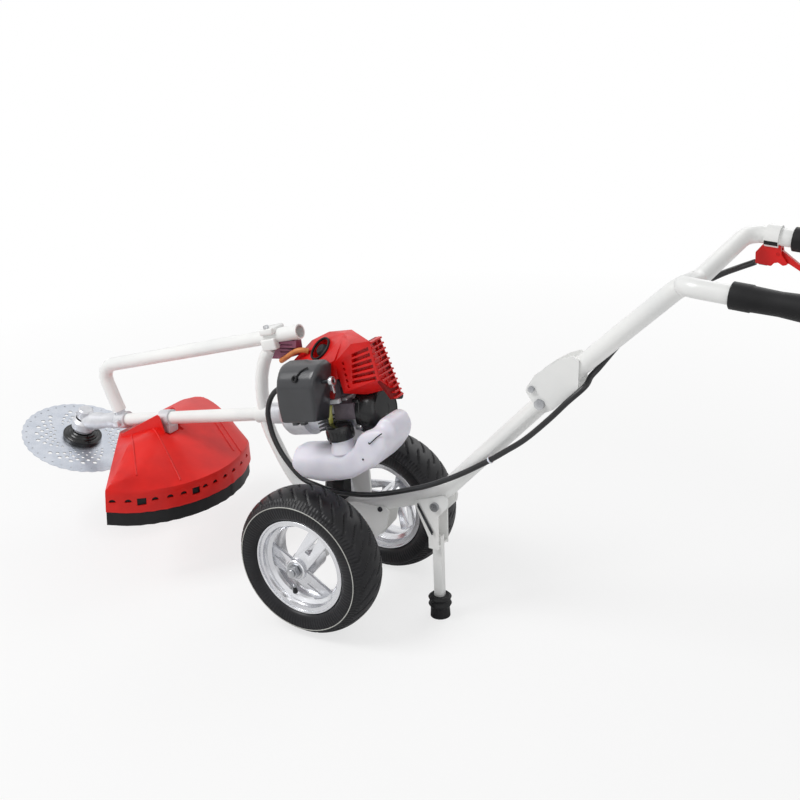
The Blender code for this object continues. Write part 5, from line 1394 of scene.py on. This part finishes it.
def build_lead():
    """Mauve coil block behind the front slope, and the orange lead that leaves it."""
    block = hull("engine_shroud.coil", [(-108, -8, 143), (-67, -8, 142), (-71, -8, 128),
                                        (-116, -8, 110), (-134, -8, 111), (-108, 8, 141),
                                        (-67, 8, 140), (-70, 8, 112), (-116, 8, 104),
                                        (-128, 8, 108)], engine, "mauve_plastic")
    grooves = [hull(f"coil_groove_{number}", [(-112 + shift, y, 122 - shift * 0.1 + rise)
                                              for shift in (2, 34) for y in (-12, -5)
                                              for rise in (7 * number, 7 * number + 2.4)], engine)
               for number in range(3)]
    round_edges(cut(block, *grooves), 0.0015, 1)
    lead = smooth_route(mm([(-112, -9, 106), (-96, -14, 112), (-80, -16, 119), (-66, -15, 124),
                            (-54, -12, 124), (-44, -8, 120)]), 4)
    tube("spark_plug_boot.lead", lead, 0.0050, 8, engine, material="orange_lead")


def side_slots():
    """Six long slanted slots in the near side and a column of short ones before them."""
    tools = []
    for number in range(6):
        left = (82 - 2.4 * number, 117 - 9.8 * number)
        right = (121 + 0.5 * number, 128 - 10.8 * number)
        tools.append(hull(f"side_slot_{number}", [(x, y, z + rise) for x, z in (left, right)
                                                  for y in (-60, -40) for rise in (-3.1, 3.1)],
                          engine))
    for number, height in enumerate((104, 94, 83, 72, 61)):
        tools.append(box(f"short_slot_{number}", (0.0042, 0.02, 0.0056), engine,
                         (0.0595, SHROUD_NEAR, height * MM), (0, math.radians(-20), 0)))
    return tools


def build_comb():
    """Rear grille: level fins that stand out of a backing plate, with three upright bars."""
    def face(height):
        return 129 - 6 * (height - 22) / 117
    def far(height):
        return 2 - 19 * (height - 22) / 117
    def slab(name, low, high, near, wide, inside, outside, material=None):
        corners = []
        for height in (low, high):
            start = far(height) - wide if near is None else near
            if not wide:
                start = between(height, [(50, -23), (70, -51)])
            for y in (start, start + wide if wide else far(height)):
                corners += [(face(height) - inside, y, height), (face(height) + outside, y, height)]
        return hull(name, corners, engine, material)
    # The backing takes the red darkened as painted shade between the fins
    backing = slab("engine_shroud.comb_back", 70, 139, -51, 0, 7, 0, "painted_shade_red")
    bars_low = slab("comb_low", 24, 72, -23, 0, 7, 0)
    bars = [slab(f"engine_shroud.comb_bar_{number}", low, 139, near, 2.6, 1, 3.5, "red_plastic")
            for number, (low, near) in enumerate(((70, -51), (50, -31), (24, None)))]
    fins = [slab(f"comb_fin_{number}", 25 + 10.1 * number, 28.4 + 10.1 * number, -51, 0, 1, 7.5)
            for number in range(12)]
    loose(backing, bars_low)
    round_edges(loose(bars[0], *bars[1:], *fins), 0.0006, 0)


def build_intake():
    """Carburettor with its choke lever, and the air filter cover."""
    cylinder_side = -CYLINDER_RADIUS - GAP
    depth = cylinder_side - CARBURETTOR_NEAR
    # Carburettor body in the alloy darkened as painted shade
    body = box("carburettor", (0.042, depth, 0.046), engine,
               (0.006, (cylinder_side + CARBURETTOR_NEAR) / 2, 0.052), material="painted_shade_alloy",
               bevel=0.004)
    adjuster = rod("adjuster_boss", 0.007, 0.006, 10, engine, (-0.006, -0.047, 0.0757))
    join(body, adjuster)
    # Dark red lever in the cover red darkened as painted shade
    box("carburettor.lever", (0.018, 0.006, 0.014), engine, (0.023, -0.0605, 0.051),
        (0, math.radians(25), 0), "painted_shade_red", 0.002, 1)
    box("carburettor.flange", (0.038, 0.008, 0.008), engine, (0.018, -0.056, 0.036),
        (0, math.radians(-2), 0), "cast_aluminium", 0.001, 1)
    cover = hull("air_filter_cover", [(-60, -115, 18), (-57, -115, 60), (-52, -115, 84),
                                      (27, -115, 82), (18, -115, 18), (-50, -110, 99),
                                      (30, -110, 97), (-51, -100, 110), (32, -100, 108),
                                      (-54, -85, 117), (34, -85, 115), (-60, -60, 112),
                                      (-46, -60, 121), (32, -60, 119), (43, -60, 108),
                                      (8, -60, 4), (-54, -60, 8)], engine, "black_plastic")
    soften(cover, 0.0025, 18)
    build_filter_knob()
    choke = (0.050 + GAP + 0.004, CARBURETTOR_NEAR - GAP - 0.028, 0.084)
    ring = turned("choke_lever", [(0.0035, 0.004), (0.0085, 0.004), (0.0085, -0.004),
                                  (0.0035, -0.004)], 14, engine, choke, ALONG_X, "steel",
                  ring=True)
    round_edges(ring, 0.0012, 1)
    box("choke_lever.tab", (0.0022, 0.005, 0.018), engine,
        (choke[0], choke[1], choke[2] - 0.013), material="steel", bevel=0.0008)
    turned("air_filter_cover.choke_shaft", mm([(0, 21), (3, 20), (3.4, 16), (3.4, -24), (0, -24)]),
           8, engine, (choke[0] - 0.018, choke[1], choke[2]), ALONG_X, "dark_steel")


def build_filter_knob():
    """Small black wing knob with its bent wire on the filter cover's sloping top."""
    loop = [(-8 + 4.6 * math.cos(turn), -111.5 + 2.4 * math.sin(turn), 99 + 4.4 * math.sin(turn))
            for turn in (math.tau * step / 16 for step in range(17))]
    tube("air_filter_cover.knob", mm(loop), 0.0019, 6, engine, material="rubber")
    wire = smooth_route(mm([(-5, -109.5, 102), (-1, -104.5, 106.5), (2, -101, 109.5),
                            (8, -97, 112), (14, -94, 113.5)]), 4)
    tube("air_filter_cover.wire", wire, 0.0014, 6, engine, material="rubber")
    for number, across in enumerate((-38, -20)):
        box(f"air_filter_cover.foot_{number}", (0.012, 0.010, 0.010), engine,
            (across * MM, -0.100, 0.014), material="black_plastic", bevel=0.002)


def build_muffler():
    """Boxed muffler on the far side, standing out of the shroud's window."""
    near = CYLINDER_RADIUS + GAP
    depth = MUFFLER_FAR - near
    body = box("muffler", (0.058, depth, 0.052), engine, (-0.006, near + depth / 2, 0.080),
               material="steel", bevel=0.006)
    outlet = rod("muffler_outlet", 0.008, 0.014, 12, engine, (0.002, near + depth + 0.003, 0.094),
                 ALONG_Y)
    join(body, outlet)


def build_tank():
    """Blown fuel tank that curls up beside the starter, with its neck, cap and fuel line."""
    near_outline = mm([(24, -66), (56, -48), (70, -27), (84, -18), (104, -14), (124, -14),
                       (136, -26), (130, -50), (99, -80), (40, -92)])
    tail_outline = mm([(60, -60), (86, -50), (99, -36), (106, -6), (124, 4), (140, -4),
                       (146, -26), (138, -46), (120, -64), (99, -80), (60, -90)])
    low = [(-93, -82), (-72, -104), (-28, -112), (36, -107), (99, -80)]
    points = [(along, y, height) for along, height in low for y in (-83, 0)]
    points += [(-90, -83, -66), (92, -83, -64), (-88, -60, -46), (88, -60, -48), (-88, -30, -48),
               (88, -30, -48), (-88, 0, -60), (88, 0, -60)]
    tank = hull("fuel_tank", points, engine, "tank_plastic")
    tail = as_mesh(plate("tank_tail", tail_outline, 0.062, engine))
    lobe = as_mesh(plate("near_lobe", near_outline, 0.026, engine))
    for body, shift in ((tail, -0.032), (lobe, TANK_NEAR + 0.013)):
        for corner in body.data.vertices:
            corner.co = (corner.co.x, shift - corner.co.z, corner.co.y)
    soften(loose(tank, tail, lobe), 0.0035, 34)
    turned("fuel_tank.neck", mm([(0, -0.5), (20, -0.5), (20, -8), (23, -14), (25, -24), (0, -24)]),
           14, engine, CAP_AT, material="tank_plastic")
    profile = mm([(0, 27.4), (18, 27.4), (21.5, 26.6), (23.6, 24.5), (24.2, 22), (25, 20),
                  (25, 2), (24, 0), (0, 0)])
    turned("fuel_cap", profile, 14, engine, CAP_AT, material="starter_plastic")
    for number in range(20):
        turn = math.tau * number / 20
        box(f"fuel_cap.grip_{number}", (0.0022, 0.0030, 0.016), engine,
            (CAP_AT[0] + 0.0247 * math.cos(turn), CAP_AT[1] + 0.0247 * math.sin(turn),
             CAP_AT[2] + 0.011), (0, 0, turn), "starter_plastic", 0.0008, 1)
    turned("fuel_tank.grommet", mm([(0, 3), (9, 3), (11, 1.6), (11.5, -14), (0, -14)]), 10,
           engine, (-0.0064, -0.042, -0.0445), material="rubber")
    turned("fuel_tank.seal", mm([(0, 1.2), (5.6, 1.2), (6.2, 0), (0, 0)]), 8, engine,
           (-0.0064, -0.042, -0.0416), material="tank_plastic")
    line = smooth_route(mm([(-6.4, -42, -42), (-5.2, -42, -30), (-4.2, -42.5, -18),
                            (-3.2, -45, -9), (2, -51, -1), (4.2, -52, 11), (4.8, -50, 20),
                            (4, -44, 28)]), 4)
    tube("fuel_line", line, 0.0042, 8, engine, material="clear_hose")
    hook = smooth_route(mm([(98, -84, -34), (99.7, -85, -36.5), (103.5, -85, -34.5),
                            (116, -84, -26), (130, -83, -18.5)]), 4)
    tube("fuel_tank.wire", hook, 0.0010, 6, engine, material="rubber")
    turned("fuel_tank.rivet", mm([(0, 1.4), (1.6, 1.0), (2.0, 0), (0, 0)]), 6, engine,
           (0.077, TANK_NEAR - 0.0004, -0.066), UPRIGHT, "dark_steel")


def tank_floor(across):
    """Chassis height of the tank's underside above a chassis x."""
    low = Vector(on_shaft(-0.028, -0.109))
    high = Vector(on_shaft(0.034, -0.104))
    return low[1] + (high[1] - low[1]) * (across - low[0]) / (high[0] - low[0])


def build_supports():
    """Rubber block under the tank, and the flat post that carries the engine."""
    front, rear = -0.022, 0.004
    base = 0.054 + MAIN_TUBE_RADIUS + GAP
    outline = [(front, base), (rear, base), (rear, tank_floor(rear) - GAP),
               (front, tank_floor(front) - GAP)]
    plate("tank_buffer", outline, 0.024, axle, (0, -0.0125, 0), material="rubber")
    top_low = Vector(on_shaft(-0.022, -CRANKCASE_RADIUS + 0.004))
    top_high = Vector(on_shaft(0.022, -CRANKCASE_RADIUS + 0.004))
    post = [(0.004, 0.046), (0.030, 0.046), (0.034, 0.078), tuple(top_high), tuple(top_low),
            (-0.008, 0.090)]
    across = MAIN_TUBE_RADIUS + 2 * GAP + PLATE_THICKNESS + 0.0025
    plate("engine_post", post, 0.005, axle, (0, across, 0), material="white_paint")


def build_stand():
    """Folding stand: two cheeks, a folded front web and a square leg with a rubber foot."""
    cheek_middle = MAIN_TUBE_RADIUS + GAP + PLATE_THICKNESS / 2
    cheek = mm([(-44, -4), (-41, 4), (-8, 16), (16, 25), (24, 23), (27, 16), (25, 2), (5, -20),
                (4, -88), (-16, -88), (-16, -66)])
    leg = as_mesh(plate("left_cheek", cheek, PLATE_THICKNESS, stand, (0, -cheek_middle, 0),
                        material="white_paint"))
    leg.name = "stand_leg.look"
    far = plate("right_cheek", cheek, PLATE_THICKNESS, stand, (0, cheek_middle, 0))
    web = plate("stand_web", mm([(-37, -18), (-34.6, -17), (-13, -65.4), (-13, -87), (-15.4, -87),
                                 (-15.4, -65.8)]), 2 * cheek_middle, stand)
    centre = FOOT_X - STAND_PIVOT_X
    leg_top = -0.068
    leg_bottom = -(TYRE_RADIUS + STAND_PIVOT_RISE) + FOOT_HEIGHT - 0.024
    bar = box("leg_bar", (LEG_WIDTH, LEG_DEPTH, leg_top - leg_bottom), stand,
              (centre, 0, (leg_top + leg_bottom) / 2))
    cross = box("leg_cross", (LEG_WIDTH - 0.002, 2 * cheek_middle, 0.004), stand,
                (centre + 0.0007, 0, -0.0847))
    leg = join(leg, far, web, cross, bar)
    for number, rise in enumerate((0, 4)):
        ends = mm([(-35, -22.5, -4 + rise), (-6 + rise / 4, -22.5, -57 + rise)])
        tube(f"stand_leg.rod_{number}", ends, 0.0014, 6, stand, material="dark_steel")
    hole = rod("cheek_hole", 0.005 + GAP, 0.08, 12, stand, turn=ALONG_Y)
    cut(leg, hole)
    ground = -(TYRE_RADIUS + STAND_PIVOT_RISE)
    foot = FOOT_RADIUS
    top = FOOT_HEIGHT
    bore = 0.0112
    floor = top - 0.024 - GAP
    turned("stand_foot", [(0, floor), (bore, floor), (bore, top), (foot - 0.004, top),
                          (foot, top - 0.004), (foot - 0.003, top - 0.011),
                          (foot, top - 0.018), (foot - 0.004, top - 0.025), (foot - 0.003, 0),
                          (0, 0)],
           14, stand, (centre, 0, ground), material="rubber")
    bolt = 0.0047
    half = cheek_middle + PLATE_THICKNESS / 2 + GAP
    turned("stand_pivot_bolt", bolt_profile(bolt, half), 12, stand, turn=ALONG_Y,
           material="steel")


def bolt_profile(radius, half):
    """Through-bolt with a low head and a nut, its grip spanning twice the half width."""
    head_radius = radius * 1.8
    return [(0, half + 0.005), (head_radius - 0.001, half + 0.005), (head_radius, half + 0.004),
            (head_radius, half), (radius, half), (radius, -half), (head_radius, -half),
            (head_radius, -half - 0.005), (0, -half - 0.005)]


def pivot_frame():
    """Unit directions along the main tube's upper run and square to it."""
    points = main_tube_points()
    along = (Vector(points[3]) - Vector(points[2])).normalized()
    return along, Vector((-along.y, along.x))


def build_pivot():
    """Side plates that carry the stem and turn on the main tube's end."""
    along, square = pivot_frame()
    shape = mm([(-8, 14, 8), (-4, 34, 8), (30, 41, 12), (60, 37, 10), (88, 30, 8), (106, 22, 7),
                (110, 10, 6), (74, -23, 8), (12, -22, 8), (-10, -14, 8)])
    outline = []
    for point in shape:
        place = along * point[0] + square * point[1]
        outline.append((place.x, place.y, point[2]))
    outline = rounded_outline(outline, 0.008, 2)
    across = MAIN_TUBE_RADIUS + GAP + PLATE_THICKNESS / 2
    lock = along * 0.008 + square * 0.0275
    holes = [arc((0, 0), 0.0053, 0, 330, 11), arc(tuple(lock), 0.0034, 0, 324, 9)]
    for side, place in (("left", -across), ("right", across)):
        plate(f"{side}_pivot_plate", outline, PLATE_THICKNESS, handle, (0, place, 0),
              material="white_paint", holes=holes)
    half = across + PLATE_THICKNESS / 2 + GAP
    turned("handle_pivot_bolt", bolt_profile(0.005, half), 12, handle, turn=ALONG_Y,
           material="steel")
    turned("angle_lock_bolt", bolt_profile(0.003, half), 10, handle,
           (lock.x, 0, lock.y), ALONG_Y, "steel")


def bar_end(distance):
    """Point on the handlebar's straight end, measured back from the grip's front."""
    return (GRIP_START[0] + distance * math.cos(BAR_SLOPE),
            GRIP_START[1] + distance * math.sin(BAR_SLOPE))


def build_handle():
    """Stem and forked handlebar in one weldment, with two rubber grips."""
    along, square = pivot_frame()
    stem_start = along * 0.034 + square * 0.005
    bend = Vector(FORK) + Vector((-0.030, -0.016))
    stem_route = rounded_route(upright([tuple(stem_start), tuple(bend), FORK]), 0.050, 3)
    stem = tube("handle_frame", stem_route, STEM_RADIUS, 12, handle, material="white_paint")
    end = bar_end(GRIP_LENGTH - 0.008)
    corner = bar_end(-BAR_CORNER_AHEAD)
    points = [(end[0], -BAR_HALF_SPREAD, end[1]), (corner[0], -BAR_HALF_SPREAD, corner[1]),
              (FORK[0], 0, FORK[1]), (corner[0], BAR_HALF_SPREAD, corner[1]),
              (end[0], BAR_HALF_SPREAD, end[1])]
    bar = tube("bar_shape", rounded_route(points, 0.032, 4), BAR_RADIUS, 12, handle)
    join(stem, bar)
    bore = BAR_RADIUS + RUNNING_GAP
    outside = bore + GRIP_WALL
    length = GRIP_LENGTH
    profile = [(0, length), (outside - 0.003, length), (outside, length - 0.004),
               (outside + 0.001, length - 0.030), (outside - 0.001, length * 0.5),
               (outside, 0.030), (outside + 0.0012, 0.028), (outside + 0.0012, 0.001),
               (outside, 0), (bore, 0),
               (bore, length - 0.008 + GAP), (0, length - 0.008 + GAP)]
    for side, place in (("left", -BAR_HALF_SPREAD), ("right", BAR_HALF_SPREAD)):
        turned(f"{side}_grip", profile, 12, handle, (GRIP_START[0], place, GRIP_START[1]),
               (0, math.pi / 2 - BAR_SLOPE, 0), "rubber")


def build_throttle():
    """Throttle body clamped on the far bar, with its trigger and stop switch."""
    place = bar_end(THROTTLE_AT)
    carrier = seat("throttle_seat", handle, (place[0], BAR_HALF_SPREAD, place[1]),
                   (0, -BAR_SLOPE, 0))
    outline = rounded_outline(mm([(-12, -12, 2), (-23, -28, 4), (-21, -46, 3), (4, -46.5, 3),
                                  (8, -41, 2), (14, -39, 2), (22, -43, 2), (30, -40, 2),
                                  (18, -26, 3), (14, -12, 2)]), 0.003, 2)
    body = plate("throttle_housing", outline, 0.018, carrier, material="red_plastic")
    band = rod("throttle_housing.band", BAR_RADIUS + 0.0045, 0.022, 16, carrier, turn=ALONG_X,
               material="white_paint")
    strip = rod("throttle_housing.strip", BAR_RADIUS + 0.0050, 0.0215, 16, carrier,
                turn=ALONG_X, material="rubber")
    band_bore = rod("band_bore", BAR_RADIUS + GAP, 0.05, 16, carrier, turn=ALONG_X)
    cut(band, band_bore)
    strip_bore = rod("strip_bore", BAR_RADIUS + 0.002, 0.05, 16, carrier, turn=ALONG_X)
    above = box("above_strip", (0.05, 0.05, 0.05), carrier, (0, 0, -0.005 + 0.025))
    below = box("below_strip", (0.05, 0.05, 0.05), carrier, (0, 0, -0.012 - 0.025))
    cut(strip, strip_bore, above, below)
    bore = rod("throttle_bore", BAR_RADIUS + GAP, 0.05, 16, carrier, turn=ALONG_X)
    pin_hole = rod("trigger_hole", 0.0028, 0.04, 10, carrier, (0.012, 0, -0.026), ALONG_Y)
    slot = box("trigger_slot", (0.040, 0.008, 0.034), carrier, (0.0195, 0, -0.0345))
    switch_well = box("switch_well", (0.0146, 0.0106, 0.006), carrier, (-0.010, 0, -0.046))
    cut(body, bore, slot, pin_hole, switch_well)
    build_trigger(carrier)
    box("stop_switch", (0.014, 0.010, 0.0045), carrier, (-0.010, 0, -0.0462),
        material="black_plastic", bevel=0.001, segments=1)


def build_trigger(carrier):
    """Finger lever that turns on its pin inside the throttle body."""
    outline = rounded_outline(mm([(-7, 0, 3), (-4, 6, 3), (6, 5, 3), (22, -5, 3), (50, -22, 3),
                                  (46, -27, 3), (18, -14, 6), (-4, -8, 3)]), 0.003, 2)
    lever = plate("throttle_trigger", outline, 0.0068, carrier, (0.012, 0, -0.026),
                  material="red_plastic")
    pin = rod("trigger_pin", 0.0025, 0.018, 10, carrier, (0.012, 0, -0.026), ALONG_Y)
    join(lever, pin)


def build_cable():
    """Throttle cable from the trigger body, under the frame, up to the carburettor."""
    points = mm([(692.7, 162.6, 558.2), (688, 162, 556), (672, 150, 550.4), (655, 124, 546),
                 (637, 95, 539), (611.5, 62, 526), (583, 38, 506), (559.5, 27, 484),
                 (540, 24, 463), (518, 24, 435), (501, 22.5, 411.5), (489, 19, 394.5),
                 (481, 8, 383), (481, -6, 376), (477, -18, 369), (455, -27, 346),
                 (423, -29, 310), (381, -28.5, 267.5), (343, -26, 237), (310, -24, 212),
                 (268, -26, 184), (234, -29, 164), (192, -31, 142.5), (158, -34, 129),
                 (112, -38, 113), (70, -42, 102), (28, -45, 97),
                 (-10, -47, 96), (-43, -47, 100), (-72, -48, 107), (-97, -48, 127),
                 (-119, -48, 153), (-134, -48, 181), (-141, -48, 207), (-143, -48, 231),
                 (-136, -48, 256), (-121, -48, 277), (-97, -48, 290), (-60, -47, 292),
                 (-27.1, -47, 288.2)])
    route = smooth_route(points, 6)
    tube("throttle_cable", route, CABLE_RADIUS, 12, axle, material="conduit")
    lean = (0, math.radians(50), 0)
    turned("main_tube.tie", mm([(5.6, 1.6), (6.4, 1.6), (6.4, -1.6), (5.6, -1.6)]), 10, axle,
           (0.312, -0.024, 0.2135), lean, "tank_plastic", ring=True)





def set_camera():
    """Camera at the photograph's angle and distance."""
    data = bpy.data.cameras.new("photo_camera")
    data.sensor_width = 36
    data.lens = 36 * 1238.24 / 800
    data.clip_end = 50
    camera = bpy.data.objects.new("photo_camera", data)
    right = Vector((0.858513, 0.511374, -0.038093))
    up = Vector((-0.158235, 0.334845, 0.928892))
    back = right.cross(up)
    turn = Matrix((right, up, back)).transposed().to_4x4()
    camera.matrix_world = Matrix.Translation((1.2022 - FOOT_X, -1.7560, 1.2415)) @ turn
    bpy.context.scene.collection.objects.link(camera)
    bpy.context.scene.camera = camera


def add_lamp(name, place, aim, size, power):
    data = bpy.data.lights.new(name, "AREA")
    data.shape = "SQUARE"
    data.size = size
    data.energy = power
    lamp = bpy.data.objects.new(name, data)
    lamp.location = place
    lamp.rotation_euler = (Vector(aim) - Vector(place)).to_track_quat("-Z", "Y").to_euler()
    bpy.context.scene.collection.objects.link(lamp)


def build_studio():
    """Pale floor, white surround and three soft lamps."""
    world = bpy.data.worlds.new("white_surround")
    bpy.context.scene.world = world
    world.use_nodes = True
    tree = world.node_tree
    background = tree.nodes["Background"]
    path = add_node(tree, "ShaderNodeLightPath")
    seen = add_node(tree, "ShaderNodeMath", {0: path.outputs["Is Camera Ray"],
                                             1: path.outputs["Is Glossy Ray"]},
                    operation="MAXIMUM")
    clear = add_node(tree, "ShaderNodeMath", {0: seen.outputs[0],
                                              1: path.outputs["Is Transmission Ray"]},
                     operation="MAXIMUM")
    level = add_node(tree, "ShaderNodeMapRange", {"Value": clear.outputs[0], "To Min": 0.40,
                                                  "To Max": 1.0})
    background.inputs["Color"].default_value = (1, 1, 1, 1)
    tree.links.new(level.outputs["Result"], background.inputs["Strength"])
    shape = bmesh.new()
    bmesh.ops.create_grid(shape, x_segments=1, y_segments=1, size=8)
    mesh = bpy.data.meshes.new("floor")
    shape.to_mesh(mesh)
    shape.free()
    floor = bpy.data.objects.new("floor", mesh)
    floor.location = (0, 0, -0.0005)
    bpy.context.scene.collection.objects.link(floor)
    mesh.materials.append(floor_material())
    add_lamp("key_lamp", (-1.9, -1.7, 3.2), (-0.2, 0, 0.3), 1.6, 78)
    add_lamp("fill_lamp", (2.6, -1.6, 1.9), (-0.1, 0, 0.3), 2.4, 12)
    add_lamp("back_lamp", (0.4, 2.8, 2.4), (-0.2, 0, 0.4), 2.2, 22)


def floor_material():
    """Pale floor that shows white to the camera and keeps the object's shadow."""
    made = bpy.data.materials.new("pale_studio_floor")
    made.use_nodes = True
    tree = made.node_tree
    tree.nodes.clear()
    matt = add_node(tree, "ShaderNodeBsdfDiffuse", {"Color": linear("F4F4F4")})
    glow = add_node(tree, "ShaderNodeEmission", {"Color": (1, 1, 1, 1), "Strength": 1.0})
    place = add_node(tree, "ShaderNodeTexCoord").outputs["Object"]
    away = add_node(tree, "ShaderNodeVectorMath", {0: place}, operation="LENGTH")
    glowing = add_node(tree, "ShaderNodeMapRange", {"Value": away.outputs["Value"], "From Min": 0.9,
                                                    "From Max": 2.4, "To Min": 0.72,
                                                    "To Max": 1.0})
    path = add_node(tree, "ShaderNodeLightPath")
    share = add_node(tree, "ShaderNodeMath", {0: path.outputs["Is Camera Ray"],
                                              1: glowing.outputs["Result"]},
                     operation="MULTIPLY")
    mixed = add_node(tree, "ShaderNodeMixShader", {0: share.outputs[0], 1: matt.outputs[0],
                                                   2: glow.outputs[0]})
    add_node(tree, "ShaderNodeOutputMaterial", {"Surface": mixed.outputs[0]})
    return made


def settle_pieces():
    """Bake each piece, smooth its round faces and seat it on its CAD body."""
    bpy.context.view_layer.update()
    view = bpy.context.evaluated_depsgraph_get()
    shown = [piece for piece in parts.objects if piece.type != "EMPTY"]
    meshes = {piece.name: bpy.data.meshes.new_from_object(piece.evaluated_get(view))
              for piece in shown}
    body_of = {node: body for body, nodes in frame["record"]["behaviour"]["bodies"].items()
               for node in nodes}
    for piece in shown:
        mesh = meshes[piece.name]
        weld(mesh)
        mesh.shade_smooth()
        mesh.set_sharp_from_angle(angle=math.radians(32))
        if piece.type == "MESH":
            piece.modifiers.clear()
            piece.data = mesh
        else:
            piece = swap_curve(piece, mesh)
        node, role = piece.name.split(".")[:2]
        if role == "look":
            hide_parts(node)
        if node == "throttle_cable":
            world = piece.matrix_world.copy()
            piece.parent = None
            piece.matrix_world = world
            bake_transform(piece)
        else:
            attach(piece, body_of[node])
    for guide in list(guides.objects):
        bpy.data.objects.remove(guide)


def swap_curve(piece, mesh):
    """A mesh object in place of a curve object of the same name."""
    name = piece.name
    solid = bpy.data.objects.new(name, mesh)
    parts.objects.link(solid)
    solid.parent = piece.parent
    solid.matrix_world = piece.matrix_world
    solid["finish"] = piece["finish"]
    bpy.data.objects.remove(piece)
    solid.name = name
    return solid


set_camera()
build_cable()
build_axle()
for wheel_side in wheel_seats:
    build_wheel(wheel_side)
build_base_bracket()
build_main_tube()
build_hoop()
build_arm()
build_shaft()
build_gear_head()
build_blade(build_drive_line())
build_guard()
build_engine()
build_shroud()
build_intake()
build_muffler()
build_tank()
build_supports()
build_stand()
build_pivot()
build_handle()
build_throttle()
settle_pieces()
bpy.context.scene.view_settings.view_transform = "Standard"
build_studio()
